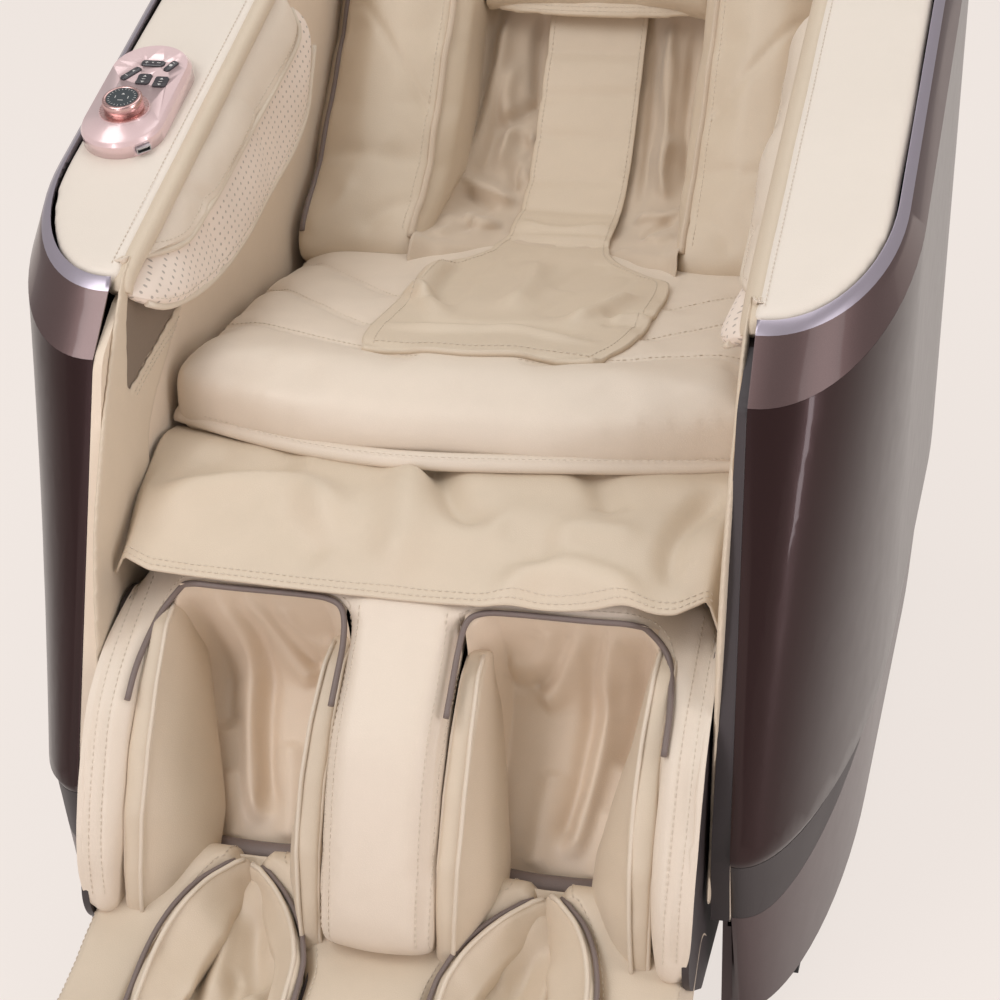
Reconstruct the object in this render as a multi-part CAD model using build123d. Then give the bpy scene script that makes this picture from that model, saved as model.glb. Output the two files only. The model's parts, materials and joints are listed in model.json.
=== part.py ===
from build123d import *
import math
import os

# Massage chair: steel floor frame, two upholstered arms inside swept side shells,
# a reclining back with a massage carriage, and a lifting leg rest with a sliding
# foot unit. Millimetres. X is across the chair, Y runs from the toes (-) to the
# back (+), Z is up. The origin is the centre of the floor frame's flat underside.

# ---- fits ------------------------------------------------------------------
SEAT_FIT = 0.3  # soft or loose pieces lie this far from what carries them
RUN_FIT = 0.05  # radial clearance of a pin or rod that turns or slides
PLAY = 2.0  # side play between bodies that move past each other

# ---- overall layout --------------------------------------------------------
SEAT_GAP = 528.0  # clear width between the arms
ARM_RISE = math.atan(0.33)  # the arm tops climb towards the back
RECLINE = math.radians(36.0)  # back's lean from upright, at rest
SHIN_LEAN = math.radians(34.0)  # leg rest's lean from upright, at rest
FLOOR_GAP = 18.0  # lowest covers above the floor

# ---- arms ------------------------------------------------------------------
SKIN = 4.0  # moulded cover thickness
REVEAL = 0.3  # parting line between two covers
INNER_X = SEAT_GAP / 2
PANEL_T = 7.7  # inner panel board at the arm's top
ARM_W = 95.0  # width of the arm's cream top
ARM_FRONT_Y = -438.0
ARM_FRONT_Z = 597.4
ARM_REAR_Y = 430.0  # rear end of the arm top
REAR_TURN_Y = 180.0  # the outer side starts to curl in here
REAR_FLAT = 29.0  # and leaves this much flat at its rear end
REAR_END_Y = 560.0
REAR_OPEN_Z = 420.0  # up to here the hem's slope has no floor
BAND_FLARE = 21.0  # how much the widest line stands out from the arm's top
HEM_TUCK = 15.0  # how much the hem falls back from there
SKIRT_TUCK = 12.0
LEDGE = 6.0  # chamfer and set-back under the main shell
RIM_W = 9.0  # bright bevel round the arm pad
PAD_T = 20.0
PAD_CROWN = 3.0

# each section of the arm: inner edge x, front y, widest x, depth of the rounded
# corner, height of the front point, and the angle at which it climbs
TOP = dict(inner=INNER_X + PANEL_T - 0.7, front=ARM_FRONT_Y, side=INNER_X + PANEL_T - 0.7 + ARM_W,
           corner=152.0, z=ARM_FRONT_Z, rise=ARM_RISE)
RIM = dict(inner=TOP["inner"], front=TOP["front"] - RIM_W, side=TOP["side"] + RIM_W,
           corner=TOP["corner"] + RIM_W + 1, z=TOP["z"] - RIM_W, rise=ARM_RISE)
STEP = dict(inner=TOP["inner"] + 1, front=ARM_FRONT_Y - 52.0, side=TOP["side"] + BAND_FLARE,
            corner=230.0, z=ARM_FRONT_Z - 53.4, rise=ARM_RISE)
HEM = dict(inner=TOP["inner"] + 9, front=ARM_FRONT_Y - 154.0, side=STEP["side"] - HEM_TUCK,
           corner=392.0, z=192.0, rise=0.0)
SKIRT_TOP = dict(inner=HEM["inner"], front=HEM["front"] + LEDGE, side=HEM["side"] - LEDGE,
                 corner=HEM["corner"] - LEDGE, z=HEM["z"] - 10.0, rise=0.0)
SKIRT_LOW = dict(inner=HEM["inner"], front=HEM["front"] + 3 * SKIRT_TUCK, side=SKIRT_TOP["side"] - SKIRT_TUCK,
                 corner=HEM["corner"] - 3 * SKIRT_TUCK, z=FLOOR_GAP, rise=0.0)
INSERT_DROP = 56.0  # depth of the dark insert at the front
INSERT_REAR_Y = -285.0  # where its point meets the shell
KICK_X = INNER_X + 6.0  # inner wall of the lower cover
KICK_T = 4.0
ARM_RAIL_W = 36.0
ARM_RAIL_H = 28.0
ARM_POST_Y = (-310.0, 310.0)
BAG_T = 30.0  # upper air cushion, out from the arm's inner face
LOW_BAG_T = 52.0

# ---- floor frame -----------------------------------------------------------
RUNNER_X = INNER_X + 36.0
RUNNER_W = 50.0
RUNNER_H = 40.0
RUNNER_Y = (-470.0, 372.0)
CROSS_Y = (-300.0, 0.0, 347.0)
CROSS_W = 50.0
WHEEL_R = 20.0
WHEEL_W = 22.0
WHEEL_LIFT = 2.0
WHEEL_Y = 398.0
AXLE_R = 4.0

# ---- hinges of the back and the leg rest -----------------------------------
BACK_PIVOT = (110.0, 290.0)
LEG_PIVOT = (-405.0, 372.0)
PIN_R = 8.0
LUG_R = 17.0
LUG_T = 8.0
ARM_PLATE = (INNER_X - 40.0, INNER_X - 34.0)  # moving plates, from the centre plane
LUG_PLATE = (INNER_X - 30.0, INNER_X - 30.0 + LUG_T)  # fixed lugs

# ---- seat ------------------------------------------------------------------
PAN_TOP = 392.0
PAN_T = 3.0
PAN_HALF = INNER_X - 26.0
SEAT_W = SEAT_GAP - 12.0
SEAT_FRONT_Y = -398.0
SEAT_BOW = 38.0  # how much further forward the lip is at its middle
SEAT_REAR_Y = 130.0
LIP_LOW = 430.0
APRON_R = 62.0  # the apron stays this near the leg rest's pivot

# ---- back, in its own frame: v up the back, w out of its front -------------
BACK_W = SEAT_GAP - 18.0
BACK_TOP_V = 1330.0
SHOULDER_V = 1010.0  # above the arms the back is wider
SHOULDER_W = BACK_W + 90.0
RAIL_X = (INNER_X - 68.0, INNER_X - 42.0)
RAIL_WALL = (62.0, 100.0)
RAIL_V = (290.0, 1270.0)
GUIDE_X = 105.0
GUIDE_W = 55.0
GUIDE_R = 8.0
BACK_CROSS_V = (470.0, 1090.0)
CARRIAGE_V = (500.0, 700.0)
CARRIAGE_TRAVEL = 370.0
ROLLER_R = 16.0
ROLLER_AXLE_R = 4.0
ROLLER_W = GUIDE_W + 36.0
SHELL_REAR_W = -66.0
BOLSTER_X = 131.0
BOLSTER_MID_W = 246.0  # its front at v 700, and 300 further up
BOLSTER_TOP_W = 205.0
COVER_W = 128.0
STRAP_W = 143.0

# ---- leg rest, in its own frame: t up the shin, h out of its front ---------
LEG_HALF = INNER_X - 6.0
COVER_T = 6.0
BAND_W = 26.0  # outer padded band beside each well
WELL_OUT = LEG_HALF - COVER_T - BAND_W
WELL_IN = 47.3
WELL_FLOOR_H = 510.0
WELL_END_T = -212.0
LEG_BACK_H = 440.0
SLIDE_X = 150.0
SLIDE_H = 470.0
SLIDE_R = 7.0
FOOT_HALF = INNER_X - 14.0
FOOT_ROLLER_R = 13.0

# ---- controller on the left arm --------------------------------------------
POD_X = 43.0 - TOP["side"]
POD_T = 234.0  # distance of its centre up the arm's slope
POD_W = 76.0
POD_L = 155.0
POD_H = 17.0
KNOB_R = 18.0
KNOB_H = 12.0
BUTTON_PROUD = 1.6
BUTTON_GAP = 0.4

# ---- frames ----------------------------------------------------------------
ARM = Plane(origin=(0, TOP["front"], TOP["z"]), x_dir=(1, 0, 0),
            z_dir=(0, -math.sin(ARM_RISE), math.cos(ARM_RISE)))
BACK = Plane(origin=(0, 0, 0), x_dir=(1, 0, 0),
             z_dir=(0, -math.cos(RECLINE), math.sin(RECLINE)))
LEG = Plane(origin=(0, 0, 0), x_dir=(1, 0, 0),
            z_dir=(0, -math.cos(SHIN_LEAN), math.sin(SHIN_LEAN)))


def save(name, shape):
    """Write one sub-part."""
    solids = shape.solids() if hasattr(shape, "solids") else list(shape)
    whole = solids[0] if len(solids) == 1 else Compound(children=list(solids))
    export_step(whole, f"parts/{name}.step")


def outline(*corners):
    """Closed face through corners (u, v) or (u, v, radius)."""
    edges = []
    count = len(corners)
    start = None
    first = None
    for i, corner in enumerate(corners):
        here = Vector(corner[0], corner[1])
        radius = corner[2] if len(corner) > 2 else 0.0
        enter = leave = here
        if radius:
            back = (Vector(*corners[i - 1][:2]) - here).normalized()
            ahead = (Vector(*corners[(i + 1) % count][:2]) - here).normalized()
            half = math.radians(back.get_angle(ahead)) / 2
            run = radius / math.tan(half)
            enter = here + back * run
            leave = here + ahead * run
            middle = here + (back + ahead).normalized() * (radius / math.sin(half) - radius)
        if start is not None:
            edges.append(Line(start, enter))
        else:
            first = enter
        if radius:
            edges.append(ThreePointArc(enter, middle, leave))
        start = leave
    edges.append(Line(start, first))
    return make_face(edges)


def across(face, x0, x1):
    """Extrude a face drawn in the (y, z) plane along X, from x0 to x1."""
    return Pos(x0, 0, 0) * extrude(Plane.YZ * face, amount=x1 - x0)


def block(x, y, z):
    """Box from its three ranges."""
    centre = Pos((x[0] + x[1]) / 2, (y[0] + y[1]) / 2, (z[0] + z[1]) / 2)
    return centre * Box(x[1] - x[0], y[1] - y[0], z[1] - z[0])


def bar_x(y, z, radius, x0, x1):
    """Round bar along X."""
    return Pos((x0 + x1) / 2, y, z) * Rot(0, 90, 0) * Cylinder(radius, x1 - x0)


def bar_v(x, w, radius, v0, v1):
    """Round bar along the local Y axis of a tilted frame."""
    return Pos(x, (v0 + v1) / 2, w) * Rot(90, 0, 0) * Cylinder(radius, v1 - v0)


def both(right):
    """A piece and its mirror image."""
    return right + mirror(right, about=Plane.YZ)


def pair(name, right):
    """Write the right-hand piece and its mirror image as two nodes."""
    save(name + "_r", right)
    save(name + "_l", mirror(right, about=Plane.YZ))


# ---- arms ------------------------------------------------------------------
def arm_section(size, inset=0.0, reach=0.0, lift=0.0):
    """Plan outline of the right arm at one height, on its own sloped plane."""
    stretch = 1 / math.cos(size["rise"])
    inner = size["inner"] - reach
    turn = size["inner"] + 4.0
    front_run = size["corner"] * stretch
    side = size["side"] - inset
    rear_start = (REAR_TURN_Y - size["front"]) * stretch
    rear_run = (REAR_END_Y - REAR_TURN_Y) * stretch - inset
    rear_x = size["inner"] + REAR_FLAT
    rear_end = rear_start + rear_run
    edges = [
        EllipticalCenterArc((turn, front_run), side - turn, front_run - inset, 270, arc_size=90),
        Line((side, front_run), (side, rear_start)),
        EllipticalCenterArc((rear_x, rear_start), side - rear_x, rear_run, 0, arc_size=90),
        Line((rear_x, rear_end), (inner, rear_end)),
        Line((inner, rear_end), (inner, inset)),
        Line((inner, inset), (turn, inset)),
    ]
    plane = Plane(origin=(0, size["front"], size["z"]), x_dir=(1, 0, 0),
                  z_dir=(0, -math.sin(size["rise"]), math.cos(size["rise"])))
    return plane.offset(lift) * make_face(edges)


def arm_skin(low, high, wall, lift_low=0.0, lift_high=0.0, closed_rear=False):
    """Cover between two sections, open towards the seat, at the top and below."""
    outer = loft([arm_section(low, lift=lift_low), arm_section(high, lift=lift_high)], ruled=True)
    inner = loft([arm_section(low, wall, 30.0, lift_low),
                  arm_section(high, wall, 30.0, lift_high)], ruled=True)
    if closed_rear:
        open_hem = block((200, 420), (-700, 400), (SKIRT_TOP["z"], REAR_OPEN_Z))
        inner &= Pos(0, -wall, 0) * arm_side_view() + open_hem
    return outer - inner


def arm_side_view(x0=200.0, x1=420.0):
    """What the arm may fill, seen from the side: it trims the rear and the hem."""
    face = outline((-700, SKIRT_TOP["z"]), (200, SKIRT_TOP["z"], 300), (430, 235, 120),
                   (548, 420, 180), (ARM_REAR_Y, 884, 40), (ARM_REAR_Y - 60, 1100), (-700, 1100))
    return across(face, x0, x1)


def lower_side_view(x0=200.0, x1=420.0):
    """Side outline of the skirt under the main shell."""
    face = outline((-700, FLOOR_GAP), (372, FLOOR_GAP, 60), (440, 150, 100), (436, 238 - REVEAL),
                   (400, 219 - REVEAL, 60), (200, SKIRT_TOP["z"] - REVEAL, 280),
                   (-700, SKIRT_TOP["z"] - REVEAL))
    return across(face, x0, x1)


def insert_side_view():
    """Side outline of the dark crescent insert."""
    low = SKIRT_TOP["z"] - INSERT_DROP
    face = outline((-700, low), (-560, low, 120), (INSERT_REAR_Y, SKIRT_TOP["z"]),
                   (INSERT_REAR_Y, 400), (-700, 400))
    return across(face, 200.0, 420.0)


def make_shell():
    body = arm_skin(HEM, STEP, SKIN, closed_rear=True)
    chamfer = arm_skin(SKIRT_TOP, HEM, SKIN)
    return (body + chamfer) & arm_side_view()


def make_band():
    return arm_skin(STEP, RIM, SKIN, lift_low=REVEAL, closed_rear=True) & arm_side_view()


def make_arm_pad():
    """Cream arm top with the bright bevel's seat round it: crowned, closed below."""
    lower = dict(TOP, side=TOP["side"] - 1.0)
    base = loft([arm_section(lower, 0.6, 6.7, -PAD_T), arm_section(lower, 0.6, 6.7, 0.0)], ruled=True)
    crown = loft([arm_section(lower, 0.6, 6.7, 0.0), arm_section(lower, 7.0, 0.0, PAD_CROWN)],
                 ruled=True)
    return (base + crown) & Pos(0, -SKIN - 2 * SEAT_FIT, 0) * arm_side_view()


def make_rim():
    """Bevelled bright lip between the band and the arm pad."""
    outer = loft([arm_section(RIM), arm_section(TOP, -0.4, lift=1.0)], ruled=True)
    inner = loft([arm_section(RIM, RIM_W - 0.4, 30.0), arm_section(TOP, 0.0, 30.0, 1.0)],
                 ruled=True)
    return (outer - inner) & arm_side_view()


def make_inner_panel():
    """Upholstered board that closes the arm towards the seat."""
    under_pad = PAD_T + SEAT_FIT
    drop = under_pad / math.cos(ARM_RISE)
    slope = math.tan(ARM_RISE)
    top_front = TOP["z"] - drop
    top_rear = top_front + (ARM_REAR_Y - 10 - TOP["front"]) * slope
    face = outline((TOP["front"] - 2, top_front - 2 * slope), (STEP["front"], STEP["z"], 30),
                   (HEM["front"] + 1, HEM["z"], 200), (SKIRT_TOP["front"] + 4, 126),
                   (120, 126, 60), (ARM_REAR_Y - 60, 240, 80), (ARM_REAR_Y - 10, top_rear))
    slab = across(face, INNER_X, INNER_X + 20)
    taper = outline((INNER_X, 0), (INNER_X, 1000), (INNER_X + PANEL_T, 1000),
                    (INNER_X + PANEL_T, STEP["z"]), (INNER_X + PANEL_T + 8, HEM["z"]),
                    (INNER_X + PANEL_T + 8, 0))
    wedge = Pos(0, 700, 0) * extrude(Plane.XZ * taper, amount=1500)
    return slab & wedge


def make_skirt():
    """Lower cover and dark insert share one skin, parted by a line."""
    whole = arm_skin(SKIRT_LOW, SKIRT_TOP, SKIN, lift_high=-REVEAL - 0.2)
    return whole & lower_side_view()


def make_insert():
    return make_skirt() & insert_side_view()


def make_lower_cover():
    above = insert_side_view()
    cover = make_skirt() - above - Pos(0, 0, -REVEAL) * above
    low = SKIRT_TOP["z"] - INSERT_DROP - 4
    kick = block((KICK_X, KICK_X + KICK_T), (SKIRT_LOW["front"] + 1, 372), (RUNNER_H + SEAT_FIT, low))
    nose = block((KICK_X, SKIRT_LOW["inner"] + 4.0), (SKIRT_LOW["front"] + 1, SKIRT_LOW["front"] + 9),
                 (FLOOR_GAP, low - 20))
    return cover + kick + nose


def make_arm_frames():
    """Steel uprights and a sloped rail inside each arm."""
    x = (RUNNER_X - ARM_RAIL_W / 2 + 10, RUNNER_X + ARM_RAIL_W / 2 + 10)
    top = -PAD_T - SEAT_FIT
    frame = ARM * block(x, (60, 880), (top - ARM_RAIL_H, top))
    half = ARM_RAIL_W / 2
    for y in ARM_POST_Y:
        height = TOP["z"] + (y - TOP["front"]) * math.tan(ARM_RISE) - PAD_T - 12
        frame += block(x, (y - half, y + half), (RUNNER_H, height))
    return both(frame)


def make_airbag(thick, t0, t1, d0, d1):
    """Padded air cushion that hangs on the arm's inner face."""
    face = outline((t0, d0, 18), (t1, d0, 14), (t1, d1, 14), (t0, d1, 8))
    return ARM * across(face, INNER_X - thick, INNER_X - SEAT_FIT)


# ---- floor frame and lower parts -------------------------------------------
def make_base_frame():
    frame = block((-RUNNER_X - RUNNER_W / 2, -RUNNER_X + RUNNER_W / 2), RUNNER_Y, (0, RUNNER_H))
    frame += block((RUNNER_X - RUNNER_W / 2, RUNNER_X + RUNNER_W / 2), RUNNER_Y, (0, RUNNER_H))
    for y in CROSS_Y:
        frame += block((-RUNNER_X, RUNNER_X), (y - CROSS_W / 2, y + CROSS_W / 2), (0, RUNNER_H))
    cheek = (WHEEL_W / 2 + PLAY, WHEEL_W / 2 + PLAY + 4)
    centre_z = WHEEL_R + WHEEL_LIFT
    for side in (-1, 1):
        for sign in (-1, 1):
            x = sorted((side * RUNNER_X + sign * cheek[0], side * RUNNER_X + sign * cheek[1]))
            ear = outline((RUNNER_Y[1] - 2, 6), (WHEEL_Y + 8, 12, 5), (WHEEL_Y + 8, 34, 6),
                          (RUNNER_Y[1] - 2, RUNNER_H))
            frame += across(ear, *x)
        frame += bar_x(WHEEL_Y, centre_z, AXLE_R, side * RUNNER_X - cheek[1], side * RUNNER_X + cheek[1])
    return frame


def make_wheel(side):
    tread = bar_x(WHEEL_Y, WHEEL_R + WHEEL_LIFT, WHEEL_R, side * RUNNER_X - WHEEL_W / 2,
                  side * RUNNER_X + WHEEL_W / 2)
    tread = chamfer(tread.edges().filter_by(GeomType.CIRCLE), 2.0)
    bore = bar_x(WHEEL_Y, WHEEL_R + WHEEL_LIFT, AXLE_R + RUN_FIT, side * RUNNER_X - WHEEL_W,
                 side * RUNNER_X + WHEEL_W)
    return tread - bore


COVER_Y = 420.0  # rear cover plate
COVER_H = 112.0
INLET_X = 170.0
INLET_Z = 74.0
INLET_W = 47.4
INLET_H = 31.4
ROCKER_X = 215.0


def make_rear_cover():
    """Low rear cover with a row of vent slots and the cut-outs for inlet and switch."""
    half = KICK_X - REVEAL
    front = CROSS_Y[2] + CROSS_W / 2 + REVEAL
    rear = COVER_Y + SKIN
    face = outline((front, 26), (rear, 26, 8), (rear, COVER_H, 14), (front, COVER_H + 24),
                   (front, COVER_H + 20), (COVER_Y, COVER_H - 3, 11), (COVER_Y, 26 + SKIN, 5),
                   (front, 26 + SKIN))
    cover = across(face, -half, half)
    through = (COVER_Y - 5, COVER_Y + 10)
    for i in range(9):
        x = -200.0 + i * 22.0
        cover -= block((x - 4, x + 4), through, (50, 96))
    cover -= across_inlet(INLET_W / 2 + REVEAL, INLET_H / 2 + REVEAL, through)
    cover -= block((ROCKER_X - 9.5, ROCKER_X + 9.5), through, (INLET_Z - 14, INLET_Z + 14))
    return cover


def across_inlet(half_w, half_h, y):
    """Box round the inlet's axis."""
    return block((INLET_X - half_w, INLET_X + half_w), y, (INLET_Z - half_h, INLET_Z + half_h))


def make_inlet():
    """Three-pin power inlet: flange, body and a keyed socket."""
    face_y = COVER_Y + SKIN
    body = across_inlet(INLET_W / 2, INLET_H / 2, (COVER_Y - 22, face_y + 1))
    flange = across_inlet(INLET_W / 2 + 3.3, INLET_H / 2 + 3.3, (face_y + RUN_FIT, face_y + 2.5))
    key = outline((INLET_X - 12, INLET_Z - 8), (INLET_X + 12, INLET_Z - 8), (INLET_X + 12, INLET_Z + 3),
                  (INLET_X + 8, INLET_Z + 8), (INLET_X - 8, INLET_Z + 8), (INLET_X - 12, INLET_Z + 3))
    socket = Pos(0, COVER_Y + 10, 0) * extrude(Plane.XZ * key, amount=24)
    inlet = body + flange - socket
    for dx, dz in ((-6, -3), (6, -3), (0, 3)):
        inlet += block((INLET_X + dx - 1, INLET_X + dx + 1), (COVER_Y - 16, COVER_Y + 1),
                       (INLET_Z + dz - 2, INLET_Z + dz + 2))
    return inlet


def make_switch():
    """Rocker of the power switch, with the round hub it tips about."""
    face = outline((COVER_Y, INLET_Z - 11), (COVER_Y + 4.5, INLET_Z - 12), (COVER_Y + 3.5, INLET_Z),
                   (COVER_Y + 7.5, INLET_Z + 12), (COVER_Y, INLET_Z + 11))
    hub = bar_x(COVER_Y, INLET_Z, 6.0, ROCKER_X - 7, ROCKER_X + 7)
    return across(face, ROCKER_X - 8.5, ROCKER_X + 8.5) + hub


def make_switch_frame():
    """Bezel round the power switch."""
    z = (INLET_Z - 17, INLET_Z + 17)
    frame = block((ROCKER_X - 13, ROCKER_X + 13), (COVER_Y + SKIN, COVER_Y + SKIN + 1.5), z)
    return frame - block((ROCKER_X - 9.2, ROCKER_X + 9.2), (COVER_Y, COVER_Y + 9),
                         (INLET_Z - 13.6, INLET_Z + 13.6))


# ---- seat ------------------------------------------------------------------
def lug(pivot, reach, x):
    """Hinge lug: a plate that tapers from its foot to a round eye."""
    eye = across(Pos(*pivot) * Circle(LUG_R), *x)
    web = across(make_face(Polyline(*reach, close=True)), *x)
    return eye + web - bar_x(*pivot, PIN_R + RUN_FIT, x[0] - 5, x[1] + 5)


def make_seat_frame():
    """Pan, side rails, posts and the fixed lugs of both hinges."""
    rail_x = (PAN_HALF - 36.0, PAN_HALF - 12.0)
    pan = block((-PAN_HALF, PAN_HALF), (-340, 128), (PAN_TOP - PAN_T, PAN_TOP))
    for x in (-120, -40, 40, 120):
        pan -= block((x - 12, x + 12), (-250, 60), (PAN_TOP - 10, PAN_TOP + 5))
    rail = block(rail_x, (-262, 78), (PAN_TOP - PAN_T - 38, PAN_TOP - PAN_T))
    for y in (-280.0, 0.0):
        rail += block(rail_x, (y - 16, y + 16), (RUNNER_H, PAN_TOP - PAN_T - 20))
    rail += block((rail_x[0], LUG_PLATE[1]), (-296, -264), (PAN_TOP - PAN_T - 38, PAN_TOP - PAN_T))
    rail += block((rail_x[0], LUG_PLATE[1]), (40, 72), (PAN_TOP - PAN_T - 38, PAN_TOP - PAN_T))
    y, z = LEG_PIVOT
    front = lug(LEG_PIVOT, [(y, z + LUG_R), (-264, PAN_TOP - PAN_T), (-264, PAN_TOP - 60),
                            (y + 8, z - LUG_R + 2)], LUG_PLATE)
    y, z = BACK_PIVOT
    rear = lug(BACK_PIVOT, [(40, PAN_TOP - PAN_T), (78, PAN_TOP - PAN_T), (y + 14, z + 9), (y - 8, z - 15),
                            (40, PAN_TOP - 60)], LUG_PLATE)
    return pan + both(rail + front + rear)


def make_seat_cushion():
    top = outline((SEAT_FRONT_Y, LIP_LOW, 10), (SEAT_FRONT_Y - 2, 474, 30), (-335, 484, 60),
                  (-120, 466, 200), (SEAT_REAR_Y, 440), (SEAT_REAR_Y, PAN_TOP + SEAT_FIT),
                  (-338, PAN_TOP + SEAT_FIT), (-348, LIP_LOW - 4, 4))
    cushion = across(top, -SEAT_W / 2, SEAT_W / 2)
    bow = make_face([ThreePointArc((-SEAT_W / 2, SEAT_FRONT_Y + SEAT_BOW), (0, SEAT_FRONT_Y - 4),
                                   (SEAT_W / 2, SEAT_FRONT_Y + SEAT_BOW)),
                     Line((SEAT_W / 2, SEAT_FRONT_Y + SEAT_BOW), (SEAT_W / 2, 200)),
                     Line((SEAT_W / 2, 200), (-SEAT_W / 2, 200)),
                     Line((-SEAT_W / 2, 200), (-SEAT_W / 2, SEAT_FRONT_Y + SEAT_BOW))])
    return cushion & extrude(Pos(0, 0, 300) * bow, amount=300)


def make_seat_flap():
    """Loose flap of the back's centre strap, lying on the seat."""
    face = outline((-275, 480.5), (-275, 489, 5), (-120, 478, 60), (60, 461.5), (60, 450.5),
                   (-120, 466.5, 60))
    return across(face, -110, 110)


def make_seat_apron():
    """Cloth apron from under the seat lip towards the leg rest."""
    face = outline((-352, LIP_LOW - 4.3), (-384, LIP_LOW - 1.6, 8), (-462, 396), (-461, 391),
                   (-380, 420, 8), (-352, 418))
    return across(face, -INNER_X + 6, INNER_X - 6)


# ---- back ------------------------------------------------------------------
def make_back_frame():
    v0, v1 = RAIL_V
    frame = block(RAIL_X, (v0 + 40, v1), RAIL_WALL)
    for v in BACK_CROSS_V:
        frame += block((0, RAIL_X[1]), (v - 15, v + 15), (40, 70))
    frame += block((0, RAIL_X[1]), (v1 - 30, v1), RAIL_WALL)
    frame += bar_v(GUIDE_X, GUIDE_W, GUIDE_R, BACK_CROSS_V[0] - 10, BACK_CROSS_V[1] + 10)
    whole = BACK * both(frame)
    return whole + both(make_back_plate())


def back_pivot_local():
    """The back's pivot in its own (v, w) coordinates."""
    y, z = BACK_PIVOT
    v = y * math.sin(RECLINE) + z * math.cos(RECLINE)
    w = -y * math.cos(RECLINE) + z * math.sin(RECLINE)
    return v, w


def make_back_plate():
    """Side plate from the back's rail to the pivot, with its pin."""
    v, w = back_pivot_local()
    eye = across(Pos(v, w) * Circle(LUG_R), *ARM_PLATE)
    web = across(outline((v, w - LUG_R), (v + 110, 64), (v + 110, 98), (v, w + LUG_R)), *ARM_PLATE)
    tie = block((RAIL_X[0], ARM_PLATE[1]), (v + 60, v + 110), (66, 96))
    pin = BACK * (eye + web + tie)
    return pin + bar_x(*BACK_PIVOT, PIN_R, ARM_PLATE[0], LUG_PLATE[1] + PLAY) + bar_x(
        *BACK_PIVOT, PIN_R + 4, LUG_PLATE[1] + REVEAL, LUG_PLATE[1] + 4)


def make_back_shell():
    """Rear cover of the back: narrow between the arms, wide at the shoulders."""
    def solid(inset, front_w):
        half = BACK_W / 2 - inset
        wide = SHOULDER_W / 2 - inset
        low, top = 345.0 + inset, BACK_TOP_V - inset
        face = outline((-half, low, 30), (half, low, 30), (half, SHOULDER_V - 40, 20),
                       (wide, SHOULDER_V + 20, 40), (wide, top, 130), (-wide, top, 130),
                       (-wide, SHOULDER_V + 20, 40), (-half, SHOULDER_V - 40, 20))
        body = Pos(0, 0, SHELL_REAR_W - 10) * extrude(face, amount=front_w - SHELL_REAR_W + 10)
        rear = SHELL_REAR_W + inset
        side = outline((low, 20 + inset), (low + 120, rear + 14, 160), (700, rear, 400),
                       (1050, rear + 10, 300), (top, 60, 60), (top + 20, 300), (low, 300))
        return body & across(side, -400, 400)
    shell = solid(0.0, 100.0) - solid(SKIN, 130.0)
    shell -= block((-BACK_W / 2 + SKIN, BACK_W / 2 - SKIN), (340, 352), (24, 130))
    for i in range(7):
        v = 560.0 + i * 16.0
        shell -= block((-90, 90), (v - 3, v + 3), (SHELL_REAR_W - 20, SHELL_REAR_W + 30))
    return BACK * shell


def make_bolster():
    rear = RAIL_WALL[1] + SEAT_FIT
    face = outline((497, rear), (364.5, 289, 26), (480, 262, 80), (700, BOLSTER_MID_W, 200),
                   (1000, BOLSTER_TOP_W, 30), (1000, rear))
    return BACK * across(face, BOLSTER_X, BACK_W / 2)


def make_back_cover():
    """Loose cloth between the bolsters, over the massage rollers."""
    half = BOLSTER_X - SEAT_FIT
    return BACK * block((-half, half), (492, 1000), (118.5, COVER_W))


def make_back_strap():
    rear = COVER_W + SEAT_FIT
    face = outline((478, rear), (478, STRAP_W, 4), (1000, STRAP_W, 4), (1000, rear))
    return BACK * across(face, -52, 52)


def make_head_pad():
    rear = RAIL_WALL[1] + SEAT_FIT
    clear_v = CARRIAGE_V[1] + CARRIAGE_TRAVEL
    clear_w = ROLLER_W + ROLLER_R + 2 * PLAY
    face = outline((1004, clear_w), (1004, 150, 20), (BACK_TOP_V - 30, 140, 40), (BACK_TOP_V - 6, rear),
                   (clear_v, rear), (clear_v - 10, clear_w))
    half = SHOULDER_W / 2 - 8
    pad = across(face, -half, half)
    crop = outline((-half, 1004), (half, 1004), (half, BACK_TOP_V - 6, 125), (-half, BACK_TOP_V - 6, 125))
    return BACK * (pad & Pos(0, 0, 50) * extrude(crop, amount=150))


def make_head_pillow():
    rear = STRAP_W + SEAT_FIT
    face = outline((665, rear, 14), (665, 190, 26), (820, 214, 80), (1000, 190, 26), (1000, rear))
    return BACK * across(face, -BOLSTER_X + 3, BOLSTER_X - 3)


def make_wing():
    slope = (BOLSTER_TOP_W - BOLSTER_MID_W) / 300.0
    low = BOLSTER_MID_W + 22 * slope + SEAT_FIT
    high = BOLSTER_MID_W + 290 * slope + SEAT_FIT
    face = outline((722, low, 8), (722, 300, 24), (990, 272, 24), (990, high, 8))
    return BACK * across(face, 176, BACK_W / 2)


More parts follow.
